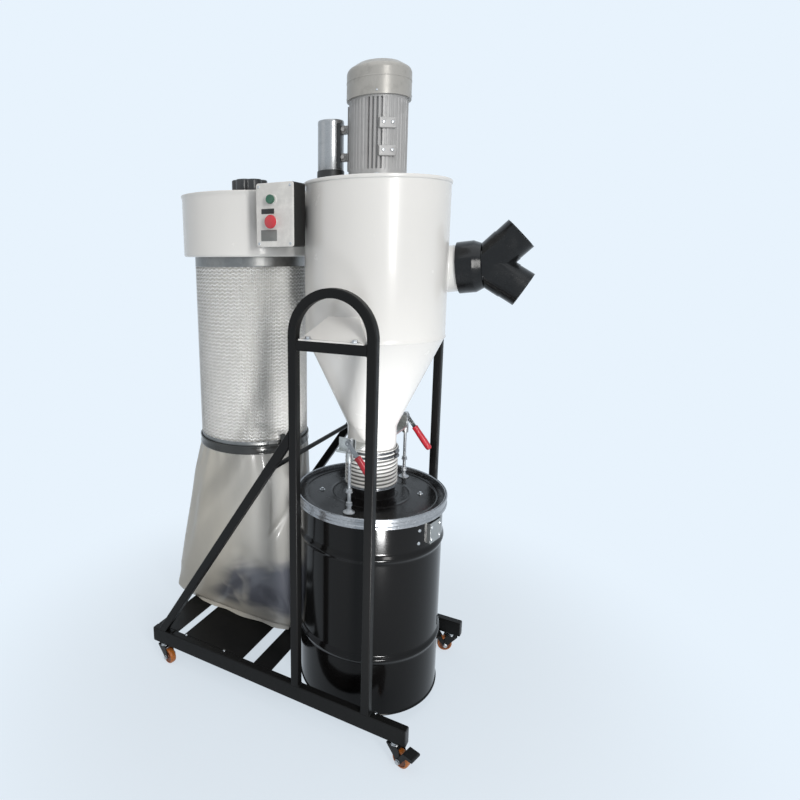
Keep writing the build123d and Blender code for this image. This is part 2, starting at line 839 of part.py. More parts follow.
def make_knob():
    """The lobed hand knob that turns the filter's cleaning flaps."""
    grip = ring(knob_radius, 0, knob_bottom, knob_height, filter_x)
    for turn in range(knob_lobes):
        angle = 2 * math.pi * turn / knob_lobes
        x = filter_x + knob_radius * math.cos(angle)
        y = knob_radius * math.sin(angle)
        grip -= ring(knob_lobe_radius, 0, knob_bottom, knob_height, x, y)
    plate_face = head_top_z - head_plate_drop
    grip += ring(knob_stem_radius, 0, plate_face + seat_gap, knob_bottom - plate_face - seat_gap, filter_x)
    parts["cleaning_knob"] = grip


def make_control_box():
    """The switch box with its front panel, button collars and two push buttons."""
    back = box_face_y + panel_sheet + box_depth
    x_range = (box_centre_x - box_width / 2, box_centre_x + box_width / 2)
    z_range = (box_bottom, box_bottom + box_height)
    box = block(x_range, (box_face_y + panel_sheet, back), z_range)
    box = fillet(box.edges().filter_by(Axis.Y), box_corner)
    middle = box_bottom + box_height / 2
    arm = block(
        (box_centre_x - arm_width / 2, box_centre_x + arm_width / 2),
        (back, -duct_half_width),
        (middle - arm_height / 2, middle + arm_height / 2),
    )
    arm -= ring(barrel_radius, 0, box_bottom, box_height)
    box += arm - ring(head_radius, 0, box_bottom, box_height, filter_x)
    panel = block(x_range, (box_face_y, box_face_y + panel_sheet), z_range)
    panel = fillet(panel.edges().filter_by(Axis.Y), box_corner)
    buttons = (
        ("start_button", start_button_z, start_button_radius),
        ("stop_button", stop_button_z, stop_button_radius),
    )
    for name, height, radius in buttons:
        place = Plane(origin=(button_x, box_face_y, height), x_dir=(1, 0, 0), z_dir=(0, -1, 0))
        hole = button_stem_radius + running_gap
        bezel = Circle(hole + bezel_wall) - Circle(hole)
        panel += place * extrude(bezel, bezel_height)
        well = place * Pos(0, 0, -overrun) * extrude(Circle(hole), 2 * overrun)
        panel -= well
        box -= well
        stem = Circle(button_stem_radius)
        cap_start = bezel_height + button_travel + button_clear
        button = place * Pos(0, 0, cap_start) * extrude(Circle(radius), button_cap)
        stem_start = button_travel + seat_gap - overrun
        button += place * Pos(0, 0, stem_start) * extrude(stem, cap_start - stem_start)
        parts[name] = button
    parts["control_box"] = box
    parts["control_panel"] = panel


def make_drum():
    """The steel drum with two rolling beads, its floor, small casters and pull handle."""
    outer = drum_radius
    inner = drum_radius - drum_sheet
    outside = [(outer, drum_bottom)]
    inside = [(inner, drum_bottom)]
    for height in drum_bead_heights:
        for radius, wall in ((outer, outside), (inner, inside)):
            wall.append((radius, height - drum_bead_half))
            wall.append((radius + drum_bead_rise, height - drum_bead_flat))
            wall.append((radius + drum_bead_rise, height + drum_bead_flat))
            wall.append((radius, height + drum_bead_half))
    rim = outer + drum_rim_rise
    outside += [(outer, drum_top - drum_rim_height), (rim, drum_top - drum_rim_height), (rim, drum_top)]
    inside.append((inner, drum_top))
    parts["drum_shell"] = turned(outside + inside[::-1])
    floor_z = drum_bottom + drum_floor_lift
    parts["drum_floor"] = ring(inner, 0, floor_z, drum_floor_sheet)

    housings = []
    wheels = []
    for corner in range(drum_caster_count):
        turn = (corner + 0.5) * 360 / drum_caster_count
        place = Rot(0, 0, turn) * Pos(drum_caster_circle, 0, 0)
        half = drum_wheel_width / 2 + cheek_gap
        plate = block(
            (-drum_caster_plate / 2, drum_caster_plate / 2),
            (-drum_caster_plate / 2, drum_caster_plate / 2),
            (floor_z - drum_cheek, floor_z),
        )
        cheek_range = (-drum_wheel_radius / 2, drum_wheel_radius / 2)
        cheek_z = (drum_wheel_radius / 2, floor_z)
        for low in (-half - drum_cheek, half):
            plate += block(cheek_range, (low, low + drum_cheek), cheek_z)
        plate += Pos(0, 0, drum_wheel_radius) * Rot(90, 0, 0) * Cylinder(axle_radius, 2 * half)
        housings.append(place * plate)
        wheel = Rot(90, 0, 0) * (
            Cylinder(drum_wheel_radius, drum_wheel_width)
            - Cylinder(axle_radius + running_gap, drum_wheel_width)
        )
        wheels.append(place * Pos(0, 0, drum_wheel_radius) * wheel)
    parts["drum_caster_housings"] = Compound(children=housings)
    parts["drum_caster_wheels"] = Compound(children=wheels)

    plate_top = ring_bottom - handle_plate_drop
    reach = (drum_radius - drum_rim_rise, drum_radius + drum_bead_rise + handle_plate_sheet)
    plate = block(
        reach,
        (-handle_plate_width / 2, handle_plate_width / 2),
        (plate_top - handle_plate_height, plate_top),
    )
    bead_top = drum_bead_heights[-1] + drum_bead_half
    plate -= ring(drum_radius, 0, bead_top, drum_top - bead_top)
    parts["drum_handle"] = Rot(0, 0, handle_plate_angle) * plate


def make_lid():
    """The recessed lid with its spigot, and the zinc ring around its edge."""
    wall_radius = lid_radius - lid_wall_width
    spigot_inner = outlet_radius - sheet
    parts["drum_lid"] = turned(
        [
            (spigot_inner, lid_floor - lid_sheet),
            (wall_radius + lid_sheet, lid_floor - lid_sheet),
            (wall_radius + lid_sheet, lid_face - lid_sheet),
            (lid_radius, lid_face - lid_sheet),
            (lid_radius, lid_face),
            (wall_radius, lid_face),
            (wall_radius, lid_floor),
            (outlet_radius, lid_floor),
            (outlet_radius, lid_floor + spigot_height),
            (spigot_inner, lid_floor + spigot_height),
        ]
    )
    ring_outer = lid_radius + ring_sheet
    parts["lid_ring"] = turned(
        [
            (lid_radius, ring_bottom),
            (ring_outer, ring_bottom),
            (ring_outer, ring_top),
            (lid_radius - ring_sheet, ring_top),
            (lid_radius - ring_sheet, lid_face),
            (lid_radius, lid_face),
        ]
    )


def make_hose():
    """The ribbed hose between the cone's outlet and the lid's spigot."""
    bottom = lid_floor + hose_lift
    top = outlet_bottom + hose_lap
    pitch = (top - bottom) / hose_ribs
    groove = hose_radius - (hose_radius - hose_inner_radius) / 2
    points = [(hose_inner_radius, bottom)]
    for rib in range(hose_ribs):
        start = bottom + rib * pitch
        points += [
            (groove, start),
            (hose_radius, start + pitch * hose_rise_share),
            (hose_radius, start + pitch * (1 - hose_rise_share)),
        ]
    points += [(groove, top), (hose_inner_radius, top)]
    parts["hose"] = turned(points)


def make_lifters():
    """Two lid lifters: guide brackets on the outlet, footed rods on the lid, and red handles."""
    brackets = []
    rods = []
    for name, side in (("front", -1), ("rear", 1)):
        x = lifter_rod_x[name]
        y = side * lifter_y
        sleeve = ring(lifter_sleeve_radius, 0, lifter_sleeve_bottom, lifter_sleeve_height, x, y)
        arm_z = lifter_sleeve_bottom + lifter_sleeve_height
        arm_reach = sorted((0, y))
        arm = block(
            (x - lifter_arm_width, x + lifter_sleeve_radius),
            arm_reach,
            (arm_z - lifter_arm_thickness, arm_z),
        )
        plate_y = y - side * lifter_plate_inset
        plate_reach = sorted((plate_y, plate_y - side * lifter_plate_sheet))
        plate = block(
            (x - lifter_plate_width + lifter_sleeve_radius, x + lifter_sleeve_radius),
            plate_reach,
            (arm_z - lifter_arm_thickness, lifter_plate_top),
        )
        bracket = sleeve + arm + plate
        bracket -= ring(outlet_radius, 0, outlet_bottom, arm_z - outlet_bottom)
        guide = lifter_rod_radius + lifter_sleeve_gap
        bracket -= ring(guide, 0, lifter_sleeve_bottom - overrun, lifter_plate_top, x, y)
        brackets.append(bracket.solids().sort_by(SortBy.VOLUME)[-1])

        foot = turned(
            [
                (0, lid_floor),
                (lifter_foot_radius, lid_floor),
                (lifter_foot_radius, lid_floor + lifter_foot_rim),
                (lifter_rod_radius, lid_floor + lifter_foot_height),
                (0, lid_floor + lifter_foot_height),
            ],
            x,
            y,
        )
        half_block = lifter_block_height / 2
        rod = foot + ring(lifter_rod_radius, 0, lid_floor, lifter_pivot_z - lid_floor, x, y)
        half = lifter_block / 2
        block_z = (lifter_pivot_z - half_block, lifter_pivot_z + half_block)
        rod += block((x - half, x + half), (y - half, y + half), block_z)
        pin_start = y + side * half
        pin_plane = Plane(origin=(x, pin_start, lifter_pivot_z), x_dir=(1, 0, 0), z_dir=(0, side, 0))
        rod += pin_plane * extrude(Circle(lifter_pin_radius), lifter_pin_reach)
        rods.append(rod)

        head_plane = pin_plane.offset(handle_gap)
        hub = Circle(handle_hub_radius) - Circle(lifter_pin_radius + running_gap)
        handle = head_plane * extrude(hub, handle_arm_sheet)
        drop = math.radians(handle_drop_angle)
        along = Vector(math.cos(drop), 0, -math.sin(drop))
        out = Vector(0, side, 0)
        arm_plane = Plane(origin=head_plane.origin + out * (handle_arm_sheet / 2), x_dir=out, z_dir=along)
        arm_start = handle_hub_radius - handle_arm_sheet / 2
        bar = arm_plane * Pos(0, 0, arm_start) * extrude(
            Rectangle(handle_arm_sheet, handle_arm_width), handle_arm_length - arm_start
        )
        grip_start = arm_plane * Pos(0, 0, handle_arm_length)
        grip = grip_start * extrude(Circle(handle_grip_radius), handle_grip_length)
        ends = grip.edges().filter_by(GeomType.CIRCLE)
        grip = fillet(ends, handle_grip_round)
        parts[f"{name}_handle_arm"] = handle + bar
        parts[f"{name}_handle_grip"] = grip
    parts["lifter_brackets"] = Compound(children=brackets)
    parts["lifter_rods"] = Compound(children=rods)


def make_all():
    """Builds every piece and writes one STEP file for each."""
    make_beams()
    make_cross_members()
    make_hoops()
    make_braces()
    make_casters()
    make_barrel()
    make_brackets()
    make_inlet()
    make_motor()
    make_filter()
    make_bag()
    make_knob()
    make_control_box()
    make_drum()
    make_lid()
    make_hose()
    make_lifters()
    os.makedirs("parts", exist_ok=True)
    for name, shape in parts.items():
        export_step(shape, f"parts/{name}.step")


make_all()
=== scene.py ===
"""A portable cyclone dust collector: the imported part, dressed piece by piece for its picture."""

import math

import bmesh
import bpy
import numpy as np
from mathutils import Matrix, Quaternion, Vector


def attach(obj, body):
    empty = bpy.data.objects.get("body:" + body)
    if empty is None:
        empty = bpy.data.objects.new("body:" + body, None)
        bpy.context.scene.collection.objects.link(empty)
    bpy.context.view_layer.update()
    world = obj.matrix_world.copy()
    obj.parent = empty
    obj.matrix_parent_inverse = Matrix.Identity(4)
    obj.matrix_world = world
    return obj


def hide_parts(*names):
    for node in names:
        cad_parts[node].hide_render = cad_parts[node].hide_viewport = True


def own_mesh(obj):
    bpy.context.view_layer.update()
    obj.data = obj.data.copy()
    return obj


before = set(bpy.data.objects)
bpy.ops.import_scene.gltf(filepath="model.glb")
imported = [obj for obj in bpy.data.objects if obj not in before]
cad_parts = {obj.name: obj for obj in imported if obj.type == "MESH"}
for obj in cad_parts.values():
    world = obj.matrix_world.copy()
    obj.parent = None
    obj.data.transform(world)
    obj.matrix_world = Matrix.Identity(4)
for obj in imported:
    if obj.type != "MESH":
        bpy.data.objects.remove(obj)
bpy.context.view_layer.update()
scene = bpy.context.scene
scene.view_settings.view_transform = "Standard"


# The view: a hand-held camera at chest height, in front of the drum end and to the right of it.
# The picture was cut out off its own centre, so the lens is shifted by that much.
camera_place = Vector((0.6612, -1.5638, 1.3588))
camera_aim = Vector((-0.4944, 0.8449, -0.2043))
camera_roll = math.radians(0.34)
camera_data = bpy.data.cameras.new("view")
camera_data.sensor_width = 36.0
camera_data.lens = 26.3
camera_data.shift_x = 0.1266
camera_data.shift_y = -0.0293
camera = bpy.data.objects.new("view", camera_data)
camera.rotation_mode = "QUATERNION"
camera.rotation_quaternion = Quaternion(camera_aim, camera_roll) @ camera_aim.to_track_quat("-Z", "Y")
camera.location = camera_place
scene.collection.objects.link(camera)
scene.camera = camera


# The welded frame: two 25 x 50 mm beams on edge, two bent hoops of 25 mm square tube, flat crossbars
# and diagonal braces. All of it is black powder coat, thick and slightly pebbled, over the welds.
def shader_sum(operation, swapped=False):
    """A method that joins a reading and another value by one operation, in that order or swapped."""

    def method(self, other):
        return self.work(operation, *((other, self) if swapped else (self, other)))

    return method


class Reading:
    """What one shader socket gives, so that sums on it read as plain Python."""

    __add__, __radd__ = shader_sum("ADD"), shader_sum("ADD", True)
    __sub__, __rsub__ = shader_sum("SUBTRACT"), shader_sum("SUBTRACT", True)
    __mul__, __pow__ = shader_sum("MULTIPLY"), shader_sum("POWER")

    def __init__(self, finish, socket):
        self.finish = finish
        self.socket = socket

    def work(self, operation, first, second):
        return self.finish.node("ShaderNodeMath", {"operation": operation}, {0: first, 1: second})

    def over(self, edge, width):
        """0 below the edge and 1 above it, with a soft step of that width."""
        span = {"interpolation_type": "SMOOTHSTEP"}
        ends = {"Value": self, "From Min": edge - width / 2, "From Max": edge + width / 2}
        return self.finish.node("ShaderNodeMapRange", span, ends)


class Finish:
    """One surface finish: a Principled shader and the nodes that feed it."""

    def __init__(self, name, owner=None, shader="Principled BSDF", **fixed):
        self.material = owner or bpy.data.materials.new(name)
        self.material.use_nodes = True
        self.tree = self.material.node_tree
        self.shader = self.tree.nodes[shader]
        for socket, value in fixed.items():
            self.feed(socket.replace("_", " "), value)

    def node(self, kind, settings=None, sockets=None, output=0):
        """Adds a node of that type, with its settings and then its sockets' values or links."""
        made = self.tree.nodes.new(kind)
        for key, value in (settings or {}).items():
            setattr(made, key, value)
        for key, value in (sockets or {}).items():
            self.put(made.inputs[key], value)
        return Reading(self, made.outputs[output])

    def put(self, socket, value):
        if isinstance(value, Reading):
            self.tree.links.new(value.socket, socket)
        else:
            socket.default_value = value

    def feed(self, socket, value):
        self.put(self.shader.inputs[socket], value)

    def place(self, stretch=(1.0, 1.0, 1.0)):
        """The point on the piece, in metres, stretched for a pattern."""
        point = self.node("ShaderNodeTexCoord", output="Object")
        return self.node("ShaderNodeMapping", None, {"Vector": point, "Scale": stretch})

    def noise(self, scale, detail, roughness=0.5, stretch=(1.0, 1.0, 1.0), distortion=0.0):
        """Soft cloud from 0 to 1; a scale of 100 gives blotches of about 10 mm."""
        sockets = {"Vector": self.place(stretch), "Scale": scale, "Detail": detail}
        sockets.update({"Roughness": roughness, "Distortion": distortion})
        return self.node("ShaderNodeTexNoise", None, sockets, "Fac")

    def flakes(self, scale):
        """A value of its own from 0 to 1 for each cell of about 1 / scale metres."""
        colour = self.node("ShaderNodeTexVoronoi", None, {"Vector": self.place(), "Scale": scale}, "Color")
        return self.node("ShaderNodeSeparateColor", None, {0: colour})

    def axis(self, name):
        """One coordinate of the point on the piece, in metres."""
        return self.node("ShaderNodeSeparateXYZ", None, {0: self.place()}, name)

    def mix(self, factor, low, high):
        """A colour between low, at factor 0, and high, at factor 1."""
        low = low if isinstance(low, Reading) else (*low, 1.0)
        high = high if isinstance(high, Reading) else (*high, 1.0)
        return self.node("ShaderNodeMix", {"data_type": "RGBA"}, {0: factor, 6: low, 7: high}, 2)

    def bump(self, height, distance, strength):
        """A normal from a height that runs from 0 to 1 over that distance in metres."""
        sockets = {"Height": height, "Distance": distance, "Strength": strength}
        return self.node("ShaderNodeBump", None, sockets)


def tint(colour, share):
    """The same colour, lighter above a share of 1 and darker below it."""
    return tuple(min(1.0, channel * share) for channel in colour)


def powder_coat(name, colour, roughness, speck, specular=0.5):
    """Baked powder paint: a faint cloud in the colour, a pebbled skin, and rubbed, duller patches."""
    finish = Finish(name, Specular_IOR_Level=specular)
    cloud = finish.noise(5.0, 4.0)
    rubbed = finish.noise(28.0, 5.0, 0.65).over(0.58, 0.2)
    peel = finish.noise(520.0, 1.5, 0.4)
    finish.feed("Base Color", finish.mix(cloud, tint(colour, 1 - speck), tint(colour, 1 + speck)))
    finish.feed("Roughness", roughness + rubbed * 0.1 + cloud * 0.05)
    finish.feed("Normal", finish.bump(peel, 0.00025, 0.5))
    return finish


def grid(points, along=False):
    """Quads over an array of points: rows are the first parameter, columns the second.
    The last column joins the first, and where along is set the last row joins the first too."""
    rows, columns = points.shape[:2]
    index = np.arange(rows * columns).reshape(rows, columns)
    index = np.concatenate([index, index[:, :1]], axis=1)
    if along:
        index = np.concatenate([index, index[:1]], axis=0)
    corners = [index[:-1, :-1], index[:-1, 1:], index[1:, 1:], index[1:, :-1]]
    return points.reshape(-1, 3), np.stack(corners, axis=-1).reshape(-1, 4)


def unit(vectors):
    """Each vector at length 1."""
    return vectors / np.maximum(np.linalg.norm(vectors, axis=-1, keepdims=True), 1e-12)


def softened(corners, cut, steps=5):
    """A closed outline with each corner eased: a quadratic curve that leaves the two sides at the cut."""
    back = np.roll(corners, 1, axis=0) - corners
    ahead = np.roll(corners, -1, axis=0) - corners
    room = np.minimum(np.linalg.norm(back, axis=1), np.linalg.norm(ahead, axis=1))
    cut = np.minimum(cut, 0.48 * room)[:, None]
    t = np.linspace(0.0, 1.0, steps)[None, :, None]
    start = (corners + unit(back) * cut)[:, None]
    end = (corners + unit(ahead) * cut)[:, None]
    curve = (1 - t) ** 2 * start + 2 * t * (1 - t) * corners[:, None] + t**2 * end
    return curve.reshape(-1, 2)


def rectangle(width, height):
    """The four corners of a rectangle about its middle, anticlockwise."""
    return np.array([(-1, -1), (1, -1), (1, 1), (-1, 1)]) * (width / 2, height / 2)


def carried(outline, path, up):
    """An outline of (side, rise) points that stands square to a path and goes along it.
    The side is the path's direction crossed with up. The ends close to a point in the middle."""
    ahead = unit(np.gradient(path, axis=0))
    side = unit(np.cross(ahead, up))
    rise = np.cross(side, ahead)
    points = path[:, None] + outline[None, :, :1] * side[:, None] + outline[None, :, 1:] * rise[:, None]
    start, end = (np.broadcast_to(path[at], points[:1].shape) for at in (0, -1))
    return grid(np.concatenate([start, points, end]))


def shown(name, mesh, finish, node, body, smooth):
    """Shades a mesh smooth up to an angle, and puts it in the scene to ride on a body."""
    mesh.polygons.foreach_set("use_smooth", np.ones(len(mesh.polygons), dtype=bool))
    mesh.set_sharp_from_angle(angle=math.radians(smooth))
    mesh.materials.clear()
    mesh.materials.append(finish.material)
    made = bpy.data.objects.new(name, mesh)
    scene.collection.objects.link(made)
    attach(made, body)
    if node:
        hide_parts(node)
    return made


def piece(name, shapes, finish, node=None, body="machine", smooth=35.0, merge=True):
    """Puts shapes, each an array of points and one of faces, into one mesh. It takes the place of a CAD node,
    where one is named."""
    starts = np.cumsum([0] + [len(points) for points, faces in shapes[:-1]])
    points = np.concatenate([points for points, faces in shapes])
    faces = np.concatenate([part + start for (_, part), start in zip(shapes, starts)])
    mesh = bpy.data.meshes.new(name)
    mesh.from_pydata(points.tolist(), [], faces.tolist())
    if merge:
        work = bmesh.new()
        work.from_mesh(mesh)
        bmesh.ops.remove_doubles(work, verts=work.verts, dist=2e-6)
        bmesh.ops.recalc_face_normals(work, faces=work.faces)
        work.to_mesh(mesh)
        work.free()
    return shown(name, mesh, finish, node, body, smooth)


def ease_edges(made, width, angle, segments):
    """Rounds the edges that are sharper than the angle."""
    bevel = made.modifiers.new("edges", "BEVEL")
    bevel.width = width
    bevel.segments = segments
    bevel.limit_method = "ANGLE"
    bevel.angle_limit = math.radians(angle)
    bevel.harden_normals = True


def dress(finish, *nodes, ease=0.0):
    """Gives CAD nodes a finish, and eases their sharp edges by that much."""
    for node in nodes:
        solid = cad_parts[node]
        solid.data.materials.clear()
        solid.data.materials.append(finish.material)
        if ease:
            weld = solid.modifiers.new("weld", "WELD")
            weld.merge_threshold = 1e-5
            ease_edges(solid, ease, 40.0, 2)


frame_paint = powder_coat("frame_black_powder", (0.0070, 0.0070, 0.0070), 0.36, 0.2, 0.15)
dress(frame_paint, "front_beam", "rear_beam", "braces", "tie_rod")
dress(frame_paint, "end_member", "bag_tray", "drum_stop", "crossbars", ease=0.0012)

beams_y = (-0.2675, 0.2675)
beam_middle, beam_top = 0.091, 0.116
legs_x = (-0.112, 0.112)
arch_radius, arch_z = 0.112, 1.1535
tube_half = 0.0125
tube = softened(rectangle(2 * tube_half, 2 * tube_half), 0.004)
bend = np.linspace(math.pi, 0.0, 61)
for hoop, beam_y in zip(("front_hoop", "rear_hoop"), beams_y):
    left, right = ([(x, beam_y, beam_top), (x, beam_y, arch_z - 0.01)] for x in legs_x)
    arch = [arch_radius * np.cos(bend), np.full(len(bend), beam_y), arch_z + arch_radius * np.sin(bend)]
    path = np.concatenate([left, np.stack(arch, axis=1), right[::-1]])
    piece(f"{hoop}_tube", [carried(tube, path, (0, 1, 0))], frame_paint, hoop)


def circle(count):
    """That many angles, evenly spaced round a full turn."""
    return np.linspace(0.0, 2 * math.pi, count, endpoint=False)


def weld_bead(start, end, radius):
    """A run of weld: a round bead, half sunk in the seam, whose size ripples every 3 mm along it."""
    start, end = np.array(start), np.array(end)
    length = np.linalg.norm(end - start)
    t = np.linspace(0.0, 1.0, max(9, int(length / 0.0008)))
    ripple = 1 + 0.16 * np.abs(np.sin(t * length * math.pi / 0.003))
    size = radius * np.sqrt(np.clip(1 - (2 * t - 1) ** 8, 0.02, 1.0)) * ripple
    ahead = unit(end - start)
    side = unit(np.cross(ahead, (0.31, 0.43, 0.85)))
    rise = np.cross(side, ahead)
    turn = circle(10)[:, None]
    ring = np.cos(turn) * side + np.sin(turn) * rise
    points = (start + t[:, None] * (end - start))[:, None] + size[:, None, None] * ring
    return grid(points)


tray_edges = (-0.668, -0.551, -0.271)
crossbar_edges = (1.1165, 1.1425)
brace_ends = ((-0.1245, 0.846), (-0.1245, 0.893), (-0.640, 0.116), (-0.594, 0.116))
seams = []
for beam_y in beams_y:
    across = [(leg + face, beam_top, 0.0032) for leg in legs_x for face in (-tube_half, tube_half)]
    across += [(leg * (1 - tube_half / arch_radius), z, 0.0026) for leg in legs_x for z in crossbar_edges]
    across += [(x, z, 0.003) for x, z in brace_ends]
    seams += [weld_bead((x, beam_y - 0.011, z), (x, beam_y + 0.011, z), size) for x, z, size in across]
    inside = beam_y - math.copysign(tube_half, beam_y)
    seams += [weld_bead((x, inside, 0.094), (x, inside, 0.114), 0.0024) for x in tray_edges]
piece("frame_welds", seams, frame_paint)

# Pressed plastic caps close the beams' open ends, and bright zinc bolts hold the tray and the casters.
# Their heads are the pale dots along the tops of the beams.
cap_plastic = powder_coat("beam_cap_plastic", (0.018, 0.018, 0.019), 0.42, 0.1)
cap_outline = softened(rectangle(0.0242, 0.0492), 0.004)
cap_steps = np.array([(0.0, 1.0), (0.0018, 1.0), (0.0026, 0.96), (0.0028, 0.9), (0.0028, 0.0)])
out, share = cap_steps[:, :1], cap_steps[:, 1:]
caps = []
for beam_y in beams_y:
    for end, way in ((0.230, 1.0), (-0.670, -1.0)):
        cap = [end + way * out, beam_y + share * cap_outline[:, 0], beam_middle + share * cap_outline[:, 1]]
        caps.append(grid(np.stack(np.broadcast_arrays(*cap), axis=-1)))
piece("beam_end_caps", caps, cap_plastic)


def upright(reach, angle, lift, x=0.0, y=0.0):
    """Points at a reach and an angle from an upright axis at x, y, each at its height."""
    return np.stack(np.broadcast_arrays(x + reach * np.cos(angle), y + reach * np.sin(angle), lift), axis=-1)


def turned(profile, sides, x=0.0, y=0.0, loop=False):
    """A profile of (radius, height) points carried round an upright axis at x, y.
    loop joins the profile's last point to its first, for a wall with two sides."""
    profile = np.array(profile)
    return grid(upright(profile[:, :1], circle(sides), profile[:, 1:], x, y), along=loop)


def set_on(shape, place, axis=(0.0, 0.0, 1.0), spin=0.0):
    """A shape with its own upright turned to the axis and its origin put at the place."""
    turn = Vector((0.0, 0.0, 1.0)).rotation_difference(Vector(axis)).to_matrix()
    flat = np.array([[math.cos(spin), -math.sin(spin), 0], [math.sin(spin), math.cos(spin), 0], [0, 0, 1]])
    return shape[0] @ (np.array(turn) @ flat).T + np.array(place), shape[1]


def hex_bolt(across, head=None, washer=None):
    """A hexagon head with a chamfered top on a round washer, standing on its own origin."""
    radius = across / math.sqrt(3)
    washer = washer or 0.98 * across
    lift = 0.1 * across
    top = lift + (head or 0.62 * across)
    shoulder = lift + 0.84 * (top - lift)
    disc = turned([(0, 0), (washer, 0), (washer, 0.8 * lift), (washer - 0.2 * lift, lift), (0, lift)], 24)
    prism = turned([(0, lift), (radius, lift), (radius, shoulder), (0.86 * radius, top), (0, top)], 6)
    return np.concatenate([disc[0], prism[0]]), np.concatenate([disc[1], prism[1] + len(disc[0])])


def round_bolt(radius, height):
    """A low domed screw head with a flat top."""
    dome = [(radius, 0.45 * height), (0.82 * radius, 0.85 * height), (0.5 * radius, height)]
    return turned([(0, 0), (radius, 0), *dome, (0, height)], 20)


def zinc_plate(name, colour=(0.50, 0.51, 0.52), roughness=0.28, spangle=260.0, metal=1.0):
    """Bright zinc: a metal with faint flakes of different sheen, hairline wipes and dull spots."""
    finish = Finish(name, Metallic=metal)
    flake = finish.flakes(spangle)
    cloud = finish.noise(40.0, 4.0, 0.6)
    wipe = finish.noise(900.0, 1.0, 0.5, (1.0, 1.0, 0.06))
    dull = finish.noise(75.0, 3.0, 0.6).over(0.66, 0.12)
    shade = flake * 0.35 + cloud * 0.65
    finish.feed("Base Color", finish.mix(shade, tint(colour, 0.72), tint(colour, 1.22)))
    finish.feed("Roughness", flake * 0.07 + dull * 0.18 + wipe * 0.1 + (roughness - 0.08))
    finish.feed("Normal", finish.bump(wipe, 0.00006, 0.6))
    return finish


bolt_zinc = zinc_plate("bolt_zinc")
bolts = []
for beam_y in beams_y:
    for count, x in enumerate((-0.543, -0.386, 0.137)):
        bolts.append(set_on(round_bolt(0.0046, 0.003), (x, beam_y + 0.010, beam_top), spin=0.4 * count))
piece("frame_bolts", bolts, bolt_zinc)


# Four stem casters carry the frame: a pressed black fork on a bright raceway, and a cast amber wheel
# with a darker core. The two at the drum end have a brake pedal of black steel.
def wheel_amber(name, colour, roughness):
    """Cast polyurethane: the colour clouds a little, and the tread is scuffed and dusty in places."""
    finish = Finish(name, Subsurface_Weight=0.08, Subsurface_Scale=0.004)
    cloud = finish.noise(60.0, 3.0)
    scuff = finish.noise(260.0, 4.0, 0.7).over(0.6, 0.14)
    body = finish.mix(cloud, tint(colour, 0.86), tint(colour, 1.14))
    finish.feed("Base Color", finish.mix(scuff * 0.5, body, (0.42, 0.33, 0.26)))
    finish.feed("Roughness", roughness + scuff * 0.25)
    finish.feed("Normal", finish.bump(finish.noise(700.0, 2.0), 0.0002, 0.35))
    return finish


def mm(*points, base=0.0):
    """Pairs in millimetres, such as radius and height, in metres. The second is counted from the base."""
    return [(first / 1000, base + second / 1000) for first, second in points]


def mirrored(profile, middle=0.0):
    """A profile from its end back to its start, turned over about a middle height."""
    return [(radius, 2 * middle - height) for radius, height in profile[::-1]]


def heading(degrees):
    """The level direction at an angle, and the one a quarter turn on from it."""
    angle = math.radians(degrees)
    ahead, aside = math.cos(angle), math.sin(angle)
    return np.array([ahead, aside, 0.0]), np.array([-aside, ahead, 0.0])


tyre_amber = wheel_amber("tyre_amber", (0.50, 0.15, 0.022), 0.34)
core_brown = wheel_amber("core_brown", (0.21, 0.06, 0.022), 0.42)
caster_paint = powder_coat("caster_black_paint", (0.009, 0.009, 0.009), 0.36, 0.2, 0.25)
dress(bolt_zinc, "caster_seats")

wheel_radius, wheel_trail = 0.025, 0.022
tread = mm((19.2, 9.8), (20.5, 10), (22.2, 9.7), (23.7, 8.6), (24.6, 6.6), (24.9, 3.5))
tread = tread + [(wheel_radius, 0.0)] + mirrored(tread) + tread[:1]
web = mm((4.3, 10.8), (7.8, 10.8), (8.6, 10.2), (9, 7.6), (10.6, 6.8), (16.6, 6.8), (18.2, 7.4), (19, 9.4))
web = web + mm((19.4, 9.8))
web = web + mirrored(web)
race = mm((6.5, 0), (14.5, 0), (15.2, 0.8), (15.2, 1.8), (14.2, 2.6), (6.5, 2.6), base=0.0574)
nut = hex_bolt(0.0115, 0.0042, 0.0072)
casters = {
    "front_left": (-0.632, beams_y[0], -12.0),
    "rear_left": (-0.632, beams_y[1], 14.0),
    "front_right": (0.200, beams_y[0], -16.0),
    "rear_right": (0.200, beams_y[1], 205.0),
}
for corner, (stem_x, stem_y, degrees) in casters.items():
    trail, across = heading(degrees)
    axle = wheel_trail * trail + (stem_x, stem_y, wheel_radius)
    roller, swivel = f"{corner}_roller", f"{corner}_swivel"
    tyre = set_on(turned(tread, 64), axle, across)
    piece(f"{corner}_tyre", [tyre], tyre_amber, f"{corner}_wheel", roller)
    core = set_on(turned(web, 48), axle, across)
    piece(f"{corner}_wheel_core", [core], core_brown, body=roller)
    braked = corner.endswith("right")
    nut_out = 0.0182 if braked else 0.0152
    nuts = [set_on(nut, axle + side * nut_out * across, side * across, 0.3) for side in (-1.0, 1.0)]
    nuts.append(turned(race, 40, stem_x, stem_y))
    piece(f"{corner}_axle_nuts", nuts, bolt_zinc, body=swivel)
    dress(caster_paint, f"{corner}_fork", ease=0.0009)
    if braked:
        dress(caster_paint, f"{corner}_pedal", ease=0.0012)


